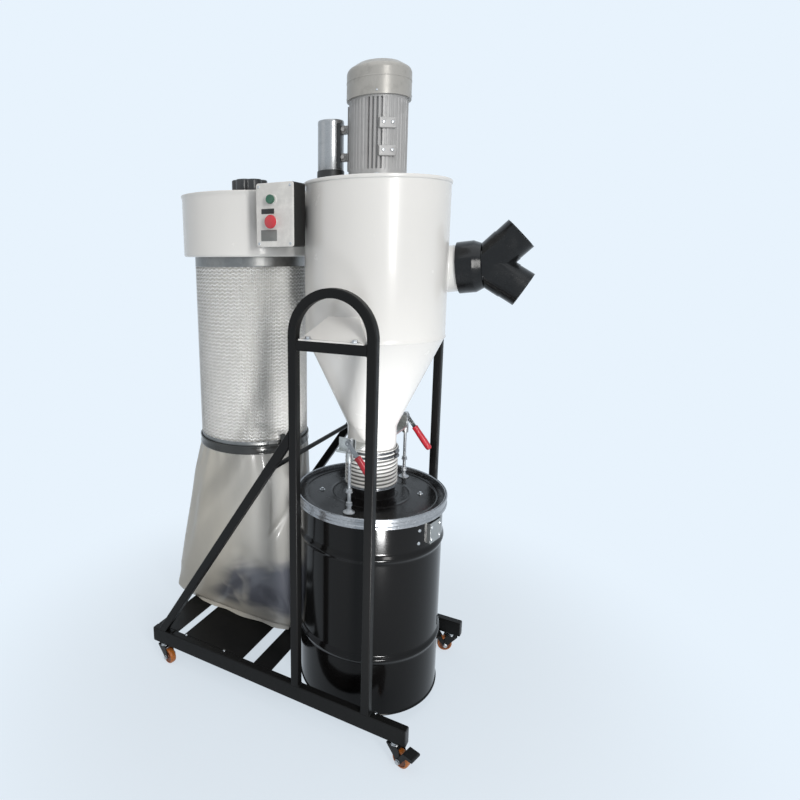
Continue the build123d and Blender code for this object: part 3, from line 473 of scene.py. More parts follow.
# The cyclone: a rolled and welded steel barrel with a rolled rim, and a cone that runs down to its outlet.
# It is sprayed gloss white, and the weld seams round the barrel show faintly through the paint.
def sprayed_gloss(name, colour, roughness, coat, specular=0.5):
    """Sprayed enamel: a very fine orange peel, a faint cloud, and a glossy skin with rubbed spots."""
    finish = Finish(name, Coat_Weight=coat, Coat_Roughness=0.08, Specular_IOR_Level=specular)
    cloud = finish.noise(2.6, 4.0, 0.55)
    rubbed = finish.noise(14.0, 5.0, 0.65).over(0.62, 0.16)
    peel = finish.noise(210.0, 2.0, 0.45)
    finish.feed("Base Color", finish.mix(cloud, tint(colour, 0.975), tint(colour, 1.015)))
    finish.feed("Roughness", roughness + rubbed * 0.015)
    finish.feed("Normal", finish.bump(peel, 0.0001, 0.04))
    return finish


cyclone_paint = sprayed_gloss("cyclone_white_gloss", (0.82, 0.815, 0.80), 0.26, 0.25)
barrel_radius, barrel_bore = 0.200, 0.197
barrel_low, barrel_high, plate_top = 1.132, 1.551, 1.545
barrel = mm((197, 0), (198.5, -0.8), (200.4, -0.6), (201.2, 0.6), (200.8, 2.6), (200, 4), base=barrel_low)
barrel = barrel + [(barrel_radius, height) for height in np.linspace(1.142, 1.536, 92)]
barrel = barrel + mm((200.2, -10.5), (201.2, -9.2), (202.6, -8.2), (203, -6), (203, -3), base=barrel_high)
barrel = barrel + mm((202.4, -0.8), (201.2, 0), (199.6, -0.2), (198.4, -1.2), (197, -3), base=barrel_high)
barrel = barrel + [(barrel_bore, height) for height in np.linspace(1.54, 1.14, 93)]
barrel_points, barrel_faces = turned(barrel, 240, loop=True)

# The inlet runs out on its own axis, set off to the rear of the barrel's middle and pitched up a little.
# The barrel is open where the inlet and the duct to the filter go in.
inlet_out = np.array([0.98907, 0.10396, 0.10453])
inlet_side = np.array([-0.10453, 0.99452, 0.0])
inlet_up = np.array([-0.10396, -0.01093, 0.99452])
inlet_from = 0.099 * inlet_side + np.array([0.0, 0.0, 1.29637])
opening_radius = 0.0615
duct_half_y, duct_half_z, duct_z = 0.088, 0.0585, 1.461
middle = barrel_points[barrel_faces].mean(axis=1)
reach = middle - inlet_from
from_axis = np.hypot(reach @ inlet_side, reach @ inlet_up)
in_stub = (from_axis < opening_radius) & (reach @ inlet_out > 0)
in_duct = (np.abs(middle[:, 1]) < duct_half_y) & (np.abs(middle[:, 2] - duct_z) < duct_half_z)
in_duct = in_duct & (middle[:, 0] < 0)
barrel_shape = barrel_points, barrel_faces[~(in_stub | in_duct)]
piece("barrel_shell", [barrel_shape], cyclone_paint, "barrel")
outlet_radius, cone_low = 0.073, 0.862
slope = [(outlet_radius + 0.126 * share, cone_low + 0.268 * share) for share in np.linspace(0.99, 0.02, 24)]
outlet = mm((73.4, 0), (73, -6), (73, -62), (73, -92), (72.6, -93.8), base=cone_low)
outlet = outlet + mm((70.6, -93.8), (70, -92), (70, 0), base=cone_low)
cone = [(barrel_radius, barrel_low), (0.1995, 1.1305), *slope, *outlet, (barrel_bore, barrel_low)]
piece("cone_shell", [turned(cone, 240, loop=True)], cyclone_paint, "cone")
dress(cyclone_paint, "barrel_top", "head_top")
dress(cyclone_paint, "filter_duct", ease=0.0015)
dress(cyclone_paint, "support_brackets", ease=0.0012)


def ring_weld(radius, height, size, sides):
    """A thin weld line round an upright shell: a small round, half sunk, that ripples along its length."""
    angle = circle(sides)[:, None]
    swell = size * (1 + 0.18 * np.abs(np.sin(angle * radius * math.pi / 0.004)))
    turn = circle(8)
    points = upright(radius + swell * np.cos(turn), angle, height + swell * np.sin(turn))
    return grid(points, along=True)


seams = [ring_weld(0.1995, 1.1306, 0.0014, 720), ring_weld(0.0732, 0.8615, 0.0012, 360)]
lift = np.linspace(1.14, 1.538, 320)[:, None]
swell = 0.0011 * (1 + 0.16 * np.abs(np.sin(lift * math.pi / 0.004)))
seam_out, seam_across = heading(62.0)
seam = (0.1995 + swell * np.cos(circle(8)))[..., None] * seam_out
seam = seam + (swell * np.sin(circle(8)))[..., None] * seam_across
seam[..., 2] = lift
seams.append(grid(seam))
piece("cyclone_welds", seams, cyclone_paint)

bolts = []
for side in (-1.0, 1.0):
    for x in (-0.066, 0.066):
        bolts.append(set_on(hex_bolt(0.012, 0.006), (x, side * 0.2735, 1.147), spin=x * 9))
for degrees in np.arange(22.5, 360.0, 45.0):
    at = 0.178 * heading(degrees)[0] + (0, 0, plate_top)
    bolts.append(set_on(hex_bolt(0.013), at, spin=math.radians(degrees)))
piece("cyclone_bolts", bolts, bolt_zinc)


# The inlet stub is a short rolled pipe, cut to the barrel and welded on. A black moulded fitting is pushed
# over it, with two hose ports: glossy plastic with slightly stepped mouths.
def refined(name, node, finish, ease, angle):
    """A copy of a CAD node with its triangles joined, shaded smooth, and its edges eased."""
    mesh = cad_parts[node].data.copy()
    work = bmesh.new()
    work.from_mesh(mesh)
    bmesh.ops.remove_doubles(work, verts=work.verts, dist=1e-5)
    bmesh.ops.dissolve_degenerate(work, edges=work.edges, dist=1e-6)
    flat = [edge for edge in work.edges if len(edge.link_faces) == 2 and edge.calc_face_angle(9.0) < 0.0015]
    bmesh.ops.dissolve_edges(work, edges=flat, use_verts=False)
    work.to_mesh(mesh)
    work.free()
    mesh.name = name
    ease_edges(shown(name, mesh, finish, node, "machine", angle), ease, angle, 3)


def moulded_gloss(name, colour, roughness, coat=0.5, specular=0.5):
    """Injection-moulded plastic: glossy, with slight sink marks, fine scratches and a dusty bloom."""
    finish = Finish(name, Coat_Weight=coat, Coat_Roughness=0.12, Specular_IOR_Level=specular)
    bloom = finish.noise(22.0, 5.0, 0.65).over(0.56, 0.3)
    scratch = finish.noise(420.0, 2.0, 0.5, (1.0, 0.12, 1.0)).over(0.7, 0.05)
    sink = finish.noise(34.0, 2.0)
    shade = finish.mix(bloom, colour, tuple(channel * 1.2 + 0.006 for channel in colour))
    finish.feed("Base Color", finish.mix(scratch * 0.25, shade, tuple(channel + 0.05 for channel in colour)))
    finish.feed("Roughness", roughness + bloom * 0.14 + scratch * 0.2)
    finish.feed("Normal", finish.bump(sink, 0.0006, 0.25))
    return finish


# Each line of the pipe starts where it meets the barrel: seen from above, |rim + t * out| = barrel radius.
stub_length = 0.254
angle = circle(144)[:, None]
share = np.linspace(0.0, 1.0, 12)[:, None]
level = inlet_out[:2] @ inlet_out[:2]
walls = []
for radius, meets in ((0.0652, barrel_radius), (0.062, barrel_radius - 0.001)):
    rim = inlet_from + radius * (np.cos(angle) * inlet_side + np.sin(angle) * inlet_up)
    half = (rim[:, :2] @ inlet_out[:2]) / level
    start = -half + np.sqrt(half**2 - ((rim[:, :2] ** 2).sum(axis=1) - meets**2) / level)
    run = start * (1 - share) + stub_length * share
    walls.append(rim + run[:, :, None] * inlet_out)
stub = grid(np.concatenate([walls[0], walls[1][::-1]]), along=True)
foot = walls[0][0]
bead_out = unit(foot - inlet_from - ((foot - inlet_from) @ inlet_out)[:, None] * inlet_out)
bead_size = 0.003 * (1 + 0.15 * np.abs(np.sin(angle * 52)))[:, :, None]
turn = circle(8)[:, None]
bead_ring = np.cos(turn) * bead_out[:, None] + np.sin(turn) * inlet_out
bead = grid(foot[:, None] + bead_size * bead_ring, along=True)
piece("inlet_pipe", [stub, bead], cyclone_paint, "inlet_stub")
fitting_gloss = moulded_gloss("fitting_black_gloss", (0.0050, 0.0052, 0.0056), 0.17, 0.0, 0.32)
refined("y_fitting_moulding", "y_fitting", fitting_gloss, 0.0016, 32.0)


# The fan motor stands on the barrel's top plate: a cast flange, a finned aluminium body with two bolted
# pads, and a pressed fan cover, all in silver paint. A start capacitor is clamped to its left side.
def silver_paint(name, colour, roughness, metal):
    """Aluminium paint: a metallic base with fine flakes, and a duller bloom in the hollows."""
    finish = Finish(name, Metallic=metal, Specular_IOR_Level=0.2)
    flake = finish.flakes(1500.0)
    cloud = finish.noise(9.0, 4.0, 0.6)
    grime = finish.noise(30.0, 5.0, 0.7).over(0.6, 0.2)
    shade = finish.mix(cloud * 0.7 + flake * 0.3, tint(colour, 0.86), tint(colour, 1.12))
    finish.feed("Base Color", finish.mix(grime * 0.35, shade, tint(colour, 0.62)))
    finish.feed("Roughness", roughness + grime * 0.12 + flake * 0.06)
    finish.feed("Normal", finish.bump(finish.noise(380.0, 2.0), 0.0002, 0.3))
    return finish


motor_paint = silver_paint("motor_silver_paint", (0.41, 0.41, 0.412), 0.36, 0.12)
cover_paint = silver_paint("fan_cover_paint", (0.41, 0.40, 0.378), 0.3, 0.18)
flange = mm((0, 0), (94.5, 0), (96, 1.5), (96, 10.5), (94.5, 12), (84.5, 12), base=plate_top)
flange = flange + mm((81.5, 13.2), (79.8, 15.5), (79, 19.5), (79, 24), (0, 24), base=plate_top)
piece("motor_foot", [turned(flange, 160)], motor_paint, "motor_flange")


def finned(low, high, core, tip, count, groups):
    """A round body whose radius dips from tip towards core and back round the axis, count times, between two
    plain end rings. The dips are deep in the middle of each group of fins and shallow between the groups."""
    angle = circle(16 * count)
    share = np.clip((np.cos(count * angle) + 0.62) / 0.5, 0.0, 1.0)
    share = share * share * (3 - 2 * share)
    off = [np.abs((angle - middle + math.pi) % (2 * math.pi) - math.pi) for middle in groups]
    deep = 0.14 + 0.86 * np.clip((math.radians(19.0) - np.min(off, axis=0)) / math.radians(4.0), 0.0, 1.0)
    inset = np.array([0.0, 0.0, 0.0095, 0.0105, 0.012])
    lift = np.concatenate([low + inset, high - inset[::-1]])[:, None]
    depth = np.array([0.0, 0.0, 0.0, 0.6, 1.0, 1.0, 0.6, 0.0, 0.0, 0.0])[:, None]
    radius = tip - (tip - core) * depth * (1 - share) * deep
    radius[0] = radius[-1] = 0.0
    return grid(upright(radius, angle, lift))


def raised(outline, steps):
    """A plate built up over a flat outline: each step is a height and how far the edge is drawn in there.
    The first and the last step close to the middle."""
    half = np.abs(outline).max(axis=0)
    rows = [(steps[0][0], half), *steps, (steps[-1][0], half)]
    flat = np.ones((len(outline), 1))
    levels = [np.hstack([outline * (1 - inset / half), flat * lift]) for lift, inset in rows]
    return grid(np.stack(levels))


def slab(width, height, corner, *steps):
    """A rectangular plate with eased corners, built up by steps. All of its sizes are in millimetres."""
    return raised(softened(rectangle(width / 1000, height / 1000), corner / 1000), mm(*steps))


def faced(shape, place, normal):
    """A shape drawn flat, with its x across and its y up, put on a face that looks along the normal."""
    out = unit(np.array(normal))
    across = unit(np.cross((0.0, 0.0, 1.0), out))
    return shape[0] @ np.stack([across, np.cross(out, across), out]) + np.array(place), shape[1]


flange_top, fins_top, fin_root, fin_tip = 1.569, 1.764, 0.071, 0.079
fin_groups = np.radians([-74.0, 16.0, 106.0, 196.0])
housing = [finned(flange_top, fins_top, fin_root, fin_tip, 44, fin_groups)]
screws = []
pad = slab(46, 26, 3, (0, 0), (13.8, 0), (14.8, 0.6), (15, 1.6))
pad_out, pad_across = heading(-50.0)
for pad_z in (1.622, 1.690):
    housing.append(faced(pad, fin_root * pad_out + (0, 0, pad_z), pad_out))
    for shift in (-0.012, 0.012):
        at = 0.086 * pad_out + shift * pad_across + (0, 0, pad_z + 0.001)
        screws.append(set_on(round_bolt(0.0042, 0.0026), at, pad_out))
piece("motor_housing", housing, motor_paint, "motor_body")
for degrees in np.arange(8.0, 360.0, 60.0):
    at = 0.0885 * heading(degrees)[0] + (0, 0, plate_top + 0.012)
    screws.append(set_on(hex_bolt(0.009), at, spin=math.radians(degrees)))
refined("fan_cover_pressing", "fan_cover", cover_paint, 0.0008, 28.0)
for degrees in np.arange(-71.0, 270.0, 90.0):
    out = heading(degrees)[0]
    screws.append(set_on(round_bolt(0.0028, 0.0014), 0.0858 * out + (0, 0, 1.7675), out))
piece("motor_screws", screws, bolt_zinc)
hem = mm((85.2, 0), (86.4, 0.2), (86.7, 1), (86.7, 2.6), (86.4, 3.4), (85.2, 3.6), base=1.8018)
piece("fan_cover_hem", [turned(hem, 160, loop=True)], cover_paint)

# The capacitor's can stands on a black base, and two pressed lugs hold it to a strip on the motor's side.
can_metal = silver_paint("capacitor_aluminium", (0.36, 0.365, 0.37), 0.26, 0.8)
can_x, can_y, can_low = -0.1375, -0.012, 1.589
can = mm((0, 0), (35.6, 0), (36.5, 2), (36.5, 117), (36, 119.5), (36.7, 121.5), (36.7, 129.5), base=can_low)
can = can + mm((35.6, 132.5), (34, 133), (32.8, 131.6), (32, 129.8), (0, 129.4), base=can_low)
piece("capacitor_can", [turned(can, 96, can_x, can_y)], can_metal, "capacitor")
clamp_plastic = moulded_gloss("clamp_black_plastic", (0.008, 0.008, 0.008), 0.4, 0.0)
can_base = mm((0, 0), (38.5, 0), (38.5, 42), (37.5, 44.5), (0, 45), base=plate_top)
can_web = faced(slab(10, 118, 2, (0, 0), (16, 0), (16.8, 0.8)), (-0.1045, -0.019, 1.652), (0.2, -1.0, 0.0))
can_foot = [turned(can_base, 72, can_x, can_y), can_web]
piece("capacitor_foot", can_foot, clamp_plastic, "capacitor_fittings")
strip = slab(14, 168, 3, (0, 0), (6.2, 0), (7, 0.8))
lugs = [faced(strip, (-0.0775, can_y, 1.668), (-0.94, -0.34, 0.0))]
lug = slab(24, 20, 3, (0, 0), (22.5, 0), (23.5, 1))
for lug_z, spin in ((1.622, 48.36), (1.694, 50.52)):
    lugs.append(faced(lug, (-0.078, can_y, lug_z), (-1.0, 0.0, 0.0)))
    lugs.append(set_on(hex_bolt(0.011), (-0.092, -0.0245, lug_z), (0.0, -1.0, 0.0), spin))
piece("capacitor_lugs", lugs, motor_paint)


# The filter head is a white sheet drum, joined to the barrel by a flat duct. A black knob on top turns the
# flaps that beat the filter clean.
head_x, head_low, head_high = -0.426, 1.353, 1.535
head = mm((176.2, 0), (202.2, 0), (205.4, 0.7), (207.8, 2.4), (208.9, 5), (209, 9), base=head_low)
head = head + [(0.209, height) for height in np.linspace(1.37, 1.518, 20)]
head = head + mm((209.4, -11), (210.6, -6.5), (211.8, -3.2), (212, -1.2), (211.2, 0), base=head_high)
head = head + mm((209.8, -0.4), (207.8, -3), (206, -6), (206, -179), (176.2, -179), base=head_high)
head_shape = turned(head, 240, head_x, loop=True)
piece("filter_head_shell", [head_shape], cyclone_paint, "filter_head")


def knob_shape(low, high, radius, lobes, depth, x):
    """A hand knob: radius = full radius less a rounded dip at each finger hold, drawn in at its edges."""
    angle = circle(40 * lobes)
    dip = depth * (0.5 + 0.5 * np.cos(lobes * angle)) ** 3
    share = np.array([0.0, 0.93, 0.98, 1.0, 1.0, 0.985, 0.94, 0.86, 0.62, 0.58, 0.0])[:, None]
    rise = np.array([0.0, 0.0, 0.03, 0.1, 0.86, 0.94, 0.985, 1.0, 1.0, 0.95, 0.95])[:, None]
    return grid(upright(share * (radius - dip), angle, low + (high - low) * rise, x))


knob_plastic = moulded_gloss("knob_black_plastic", (0.012, 0.0125, 0.0135), 0.3, 0.2)
knob_stem = mm((0, 0), (13.8, 0), (14, 0.3), (14, 19.5), (0, 19.5), base=1.5275)
knob = [knob_shape(1.545, 1.585, 0.055, 6, 0.009, head_x), turned(knob_stem, 40, head_x)]
piece("cleaning_knob_grip", knob, knob_plastic, "cleaning_knob", "cleaning_knob")


# The filter cartridge: white pleated paper behind a sleeve of expanded steel mesh. The mesh is slit and
# stretched sheet, so its strands run in zigzags and meet their neighbours at every turn.
def pleat_paper(name):
    """Spun polyester paper: off-white and fibrous, with dust caught in the folds."""
    finish = Finish(name, Roughness=0.9)
    fibre = finish.noise(900.0, 3.0, 0.6, (1.0, 1.0, 0.25))
    dusty = finish.noise(11.0, 4.0, 0.6).over(0.52, 0.4)
    clean = finish.mix(fibre, (0.76, 0.76, 0.745), (0.83, 0.83, 0.82))
    finish.feed("Base Color", finish.mix(dusty * 0.35, clean, (0.74, 0.73, 0.69)))
    finish.feed("Normal", finish.bump(fibre, 0.0003, 0.5))
    return finish


def pleated(low, high, outer, inner, core, folds, x):
    """Folded paper round a plain core: the radius goes straight from outer to inner and back at each fold."""
    fold = np.tile([outer, inner], folds)
    reach = np.stack([np.full(2 * folds, core), fold, fold, np.full(2 * folds, core)])
    lift = np.array([low, low, high, high])[:, None]
    return grid(upright(reach, circle(2 * folds), lift, x), along=True)


pleats = pleated(0.7685, 1.3645, 0.1718, 0.1670, 0.135, 190, head_x)
piece("pleat_pack", [pleats], pleat_paper("pleat_paper"), "pleated_element", smooth=20)


def expanded_mesh(radius, low, high, cells, rows, half_width, half_depth, x):
    """Zigzag strands round an upright cylinder. Strand k stands at angle (k + 0.46 * zigzag) * step, its
    neighbour is its mirror image, and each strand is a tilted four-sided bar."""
    strands, turns = np.arange(2 * cells)[:, None], np.arange(2 * rows + 1)
    lift = np.linspace(low, high, len(turns))
    mirror = np.where(strands % 2 == 0, 1.0, -1.0)
    swing = np.where(turns % 2 == 0, 0.46, -0.46)
    angle = (strands + mirror * swing) * math.pi / cells
    bars = []
    for along, out in ((1.0, 0.35), (0.25, 1.0), (-1.0, -0.35), (-0.25, -1.0)):
        around = angle + mirror * along * half_width * 0.5 / radius
        bars.append(upright(radius + out * half_depth, around, lift + along * half_width * 0.6, x))
    bars = np.stack(bars, axis=2)
    one = grid(bars[0])[1]
    faces = one[None] + strands[:, :, None] * len(turns) * 4
    return bars.reshape(-1, 3), faces.reshape(-1, 4)


mesh_steel = zinc_plate("mesh_steel", (0.86, 0.86, 0.84), 0.4, 120.0, 0.3)
strands = expanded_mesh(0.1748, 0.778, 1.345, 60, 52, 0.0021, 0.0011, head_x)
piece("sleeve_mesh", [strands], mesh_steel, "filter_sleeve", smooth=20, merge=False)
collar_steel = zinc_plate("collar_steel", (0.21, 0.21, 0.205), 0.36, 60.0)
collars = []
for way, base, tall in ((-1, 1.3655, 41.0), (1, 0.7676, 25.9)):
    lip = ((176, tall - 5.5), (176.4, tall - 2.5), (175.8, tall), (174.2, tall - 0.5))
    collar = mm((174.2, 0), (175.8, 0), *((radius, way * rise) for radius, rise in lip), base=base)
    collars.append(turned(collar, 180, head_x, loop=True))
piece("sleeve_collars", collars, collar_steel)

# A stainless clamp band with an over-centre latch holds the dust bag's neck on the cartridge.
band_steel = silver_paint("band_stainless", (0.065, 0.065, 0.063), 0.16, 0.6)
band_z = 0.7675
band = mm((177.8, -13.3), (180.2, -13.5), (181, -12.3), (181.2, -9.5), base=band_z)
band = band + mm((180.6, -7), (180.2, -3.5), base=band_z)
band = band + mirrored(band, band_z)
latch_out = heading(-28.0)[0]
plate = slab(22, 24, 4, (0, 0), (3, 0), (3.8, 0.8))
lever = slab(16, 50, 6, (0, 0), (2.2, 0), (3, 0.8))
hook = slab(12, 16, 4, (0, 0), (6, 0), (7, 1))
clamp = [turned(band, 240, head_x, loop=True)]
for part, reach, lift, lean in (
    (plate, 0.181, band_z, 0.0),
    (lever, 0.1882, 0.79, 0.06),
    (hook, 0.184, 0.772, 0.0),
    (hook, 0.182, 0.806, 0.0),
):
    clamp.append(faced(part, reach * latch_out + (head_x, 0, lift), latch_out + (0, 0, lean)))
piece("bag_clamp_band", clamp, band_steel, "clamp_band")


# The dust bag: a wide tube of thin plastic film, clamped round the cartridge and slumped on the tray. It is
# beige with dust, and blue-grey low on the drum's side where the heap lies against it.
def bag_film():
    """Thin film: beige with a bloom of dust, cooler towards the drum, with dark blue-grey patches low down
    on that side, and a shine that breaks up along the creases."""
    finish = Finish("bag_film", Coat_Weight=0.3, Coat_Roughness=0.14, IOR=1.45)
    across, height = finish.axis("X"), finish.axis("Z")
    bloom = finish.noise(5.0, 4.0, 0.55)
    streak = finish.noise(16.0, 3.0, 0.6, (1.0, 1.0, 0.16))
    patch = finish.noise(7.0, 2.0, 0.45, (1.0, 1.0, 1.5), 0.8).over(0.44, 0.30)
    right_of = (across - height * 0.73).over(-0.70, 0.10)
    heaped = (1 - height.over(0.37, 0.07)) * height.over(0.165, 0.05) * right_of
    crease = finish.noise(22.0, 4.0, 0.6, (1.0, 1.0, 0.35))
    warm = finish.mix(bloom, (0.55, 0.52, 0.45), (0.66, 0.63, 0.56))
    cool = finish.mix(bloom, (0.33, 0.33, 0.315), (0.43, 0.43, 0.42))
    clean = finish.mix(across.over(-0.42, 0.22) * 0.8 + streak * 0.2, warm, cool)
    finish.feed("Base Color", finish.mix(heaped * (patch * 0.7 + 0.22), clean, (0.07, 0.078, 0.105)))
    finish.feed("Roughness", 0.3 + bloom * 0.2)
    finish.feed("Alpha", 0.86 + heaped * 0.1)
    finish.feed("Normal", finish.bump(crease, 0.003, 0.3))
    return finish


bag_x, foot_power = -0.491, 4.5


def bag_sections(lift, angle, inset=0.0):
    """Outlines |x/a|^n + |y/b|^n = 1 at each height. The half sizes a and b, the middle and the power n go
    from the boxy foot to the round neck. Gives the middles and the reach of each point from them."""
    knots = [0.116, 0.138, 0.240, 0.754]
    half_x = np.interp(lift, knots, [0.249, 0.255, 0.245, 0.1777]) - inset
    half_y = np.interp(lift, knots, [0.064, 0.080, 0.104, 0.1777]) - inset
    power = np.interp(lift, knots, [foot_power, foot_power, 4.2, 2.0])
    middle = np.interp(lift, knots, [bag_x, bag_x, bag_x, head_x])
    size = (np.abs(np.cos(angle)) ** power + np.abs(np.sin(angle)) ** power) ** (-1 / power)
    return middle, half_x * np.cos(angle) * size, half_y * np.sin(angle) * size


def slumped_bag(columns):
    """The bag's film from its foot up to its neck, on its sections. Creases and dents run over it as
    bell-shaped swells of angle and height, each with its own slant. One draws the foot's left corner out."""
    lift = np.concatenate([np.linspace(0.1166, 0.142, 16), np.linspace(0.148, 0.768, 134)])[:, None]
    angle = circle(columns)
    middle, across, deep = bag_sections(lift, angle)
    swell = 0.0012 * np.sin(29 * angle + 1.3 * np.sin(5 * angle)) * np.exp(-(((0.754 - lift) / 0.07) ** 2))
    belly = np.clip((0.75 - lift) / 0.2, 0.0, 1.0) * np.clip((lift - 0.12) / 0.05, 0.0, 1.0)
    swell = swell + 0.0035 * belly * np.sin(5 * angle + 4.2 * lift / 0.65 + 1.7 * np.sin(2 * angle))
    swell = swell + 0.0016 * belly * np.sin(11 * angle - 9.0 * lift / 0.65 + 2.1 * np.sin(3 * angle))
    # Each is its angle, half width in degrees, depth, height, half height, and slant in degrees per metre.
    creases = [
        (313.0, 2.0, 0.0060, 0.55, 0.085, 25.0),
        (306.0, 5.0, -0.0050, 0.55, 0.11, 25.0),
        (323.0, 5.5, -0.0080, 0.51, 0.06, 250.0),
        (286.0, 9.0, -0.0100, 0.39, 0.045, 60.0),
        (302.0, 9.0, -0.0120, 0.335, 0.05, -90.0),
        (293.0, 4.0, 0.0070, 0.255, 0.05, 170.0),
        (283.0, 8.0, -0.0090, 0.245, 0.04, 150.0),
        (310.0, 7.0, -0.0110, 0.225, 0.045, -120.0),
        (262.0, 10.0, -0.0060, 0.235, 0.05, 120.0),
        (244.0, 8.0, 0.0050, 0.50, 0.16, 30.0),
        (232.0, 6.0, -0.0045, 0.44, 0.16, 40.0),
        (214.0, 9.0, 0.0200, 0.118, 0.07, 0.0),
        (262.0, 60.0, 0.0050, 0.66, 0.06, 0.0),
        (120.0, 9.0, -0.0110, 0.30, 0.08, 90.0),
        (75.0, 8.0, -0.0100, 0.38, 0.10, -60.0),
        (98.0, 4.0, 0.0060, 0.45, 0.14, 20.0),
        (40.0, 9.0, -0.0080, 0.28, 0.08, 50.0),
        (150.0, 7.0, -0.0080, 0.42, 0.12, -40.0),
        (8.0, 9.0, -0.0080, 0.36, 0.10, 0.0),
    ]
    for at, width, depth, height, tall, slant in creases:
        off = (np.degrees(angle) - at - slant * (lift - height) + 180.0) % 360.0 - 180.0
        swell = swell + depth * np.exp(-((off / width) ** 2) - ((lift - height) / tall) ** 2)
    share = 1 + swell / np.hypot(across, deep)
    return np.stack(np.broadcast_arrays(middle + across * share, deep * share, lift), axis=-1)


film_finish = bag_film()
bag = slumped_bag(240)
bag = np.concatenate([np.broadcast_to(bag[0].mean(axis=0), bag[:1].shape), bag])
film = piece("dust_bag_film", [grid(bag)], film_finish, "dust_bag", smooth=70)
wall = film.modifiers.new("film", "SOLIDIFY")
wall.thickness = 0.0006
wall.offset = -1.0

# The foot is sealed flat, and the sealed strip lies forward along the tray, out to the left corner.
run = np.linspace(0.0, 1.0, 90)
seal_x = -0.262 - 0.405 * run
from_middle = np.abs((seal_x - bag_x) / 0.249)
seal_y = -0.064 * (1 - from_middle**foot_power) ** (1 / foot_power)
seal_y = seal_y + 0.0012 * np.sin(26 * run + 2 * np.sin(7 * run))
fold_out = (0.015 + 0.003 * np.sin(17 * run)) * (1 - 0.9 * np.clip((run - 0.72) / 0.28, 0.0, 1.0) ** 1.6)
top_z = 0.1335 + 0.0016 * np.sin(21 * run + 1.0)
shares = (0.0, 0.35, 0.7, 1.0)
rows = []
for share, skin in [(share, 0.0) for share in shares] + [(share, 0.0009) for share in shares[::-1]]:
    drop = top_z * (1 - share) + 0.1172 * share
    rows.append(np.stack([seal_x, seal_y - fold_out * share**1.4 - skin, drop + skin], axis=-1))
piece("bag_sealed_foot", [grid(np.stack(rows, axis=1))], film_finish, smooth=60)

# Fine grey dust lies in the bottom of the bag, in a low mound that its film holds together.
dust = powder_coat("collected_dust", (0.15, 0.152, 0.16), 0.95, 0.3, 0.1)
mound_foot = 0.138
angle = circle(160)
lift = np.linspace(0.1178, mound_foot, 8)[:, None]
middle, across, deep = bag_sections(lift, angle, 0.0022)
heap = np.stack(np.broadcast_arrays(middle + across, deep, lift), axis=-1)
under = np.broadcast_to(heap[0].mean(axis=0), heap[:1].shape)
share = np.linspace(0.97, 0.0, 40)[:, None]
mound = mound_foot + 0.069 * (1 - share**2.2) + 0.003 * np.sin(9 * angle) * share * (1 - share)
mound = mound + 0.002 * np.sin(4 * angle + 12 * share) * share * (1 - share)
edge_x, edge_y = heap[-1, :, 0], heap[-1, :, 1]
over = np.stack([bag_x + (edge_x - bag_x) * share, edge_y * share, mound], axis=-1)
heap_shape = grid(np.concatenate([under, heap, over]))
piece("bag_dust", [heap_shape], dust, "collected_dust", smooth=60)


# The switch box: a black moulded case with a light grey front, a green start button, a red stop button,
# and two blank plates where the maker's words would be.
panel_plastic = moulded_gloss("panel_grey_plastic", (0.70, 0.695, 0.68), 0.38, 0.15)
case_plastic = moulded_gloss("case_black_plastic", (0.010, 0.010, 0.0095), 0.42, 0.0)
dress(case_plastic, "control_box", ease=0.002)
front = np.array([0.0, -1.0, 0.0])
panel_at = np.array([-0.199, -0.212, 1.4615])
button_x, start_z, stop_z = -0.204, 1.501, 1.444
panel_edge = softened(rectangle(0.116, 0.165), 0.008, 7)
panel = raised(panel_edge, mm((0, 0), (2.2, 0), (3.4, 0.5), (4, 1.6), (4.2, 3.2)))
collar = turned(mm((9.2, 0), (12.8, 0), (12.8, 4.6), (11.8, 5.2), (9.2, 5.2)), 48, loop=True)
shapes = [faced(panel, panel_at, front)]
shapes += [faced(collar, (button_x, -0.2158, height), front) for height in (start_z, stop_z)]
piece("panel_front", shapes, panel_plastic, "control_panel")
screws = []
for x in (-0.049, 0.049):
    for z in (-0.0735, 0.0735):
        screws.append(faced(round_bolt(0.0036, 0.0018), panel_at + (x, -0.0042, z), front))
piece("panel_screws", screws, bolt_zinc)
plate_grey = moulded_gloss("plate_grey", (0.19, 0.195, 0.19), 0.42, 0.0)
blank_steps = ((0, 0), (0.7, 0), (1, 0.4))
blank = faced(slab(40, 13, 1.2, *blank_steps), (-0.2195, -0.2161, 1.4715), front)
piece("panel_dark_plate", [blank], case_plastic)
blank = faced(slab(50, 29, 1.5, *blank_steps), (-0.2165, -0.2161, 1.409), front)
piece("panel_grey_plate", [blank], plate_grey)
start_plastic = moulded_gloss("start_green", (0.012, 0.105, 0.055), 0.3)
stop_plastic = moulded_gloss("stop_red", (0.56, 0.022, 0.034), 0.3)
stem = mm((0, -8), (8.9, -8), (8.9, 5.5))
start = stem + mm((11.2, 5.6), (12, 6.4), (12, 10.5), (11.5, 12.2), (10.2, 12.8), (9.2, 12.2), (0, 11.9))
stop = stem + mm((14, 5.2), (17.2, 6), (18, 7.8), (17.8, 9.8), (16.6, 11.6))
stop = stop + mm((13.5, 12.8), (8, 13.4), (0, 13.6))
for button, profile, finish, slot, height in (
    ("start_button", start, start_plastic, "button_green", start_z),
    ("stop_button", stop, stop_plastic, "button_red", stop_z),
):
    cap = faced(turned(profile, 64), (button_x, -0.2197, height), front)
    piece(f"{button}_cap", [cap], finish, button, button)


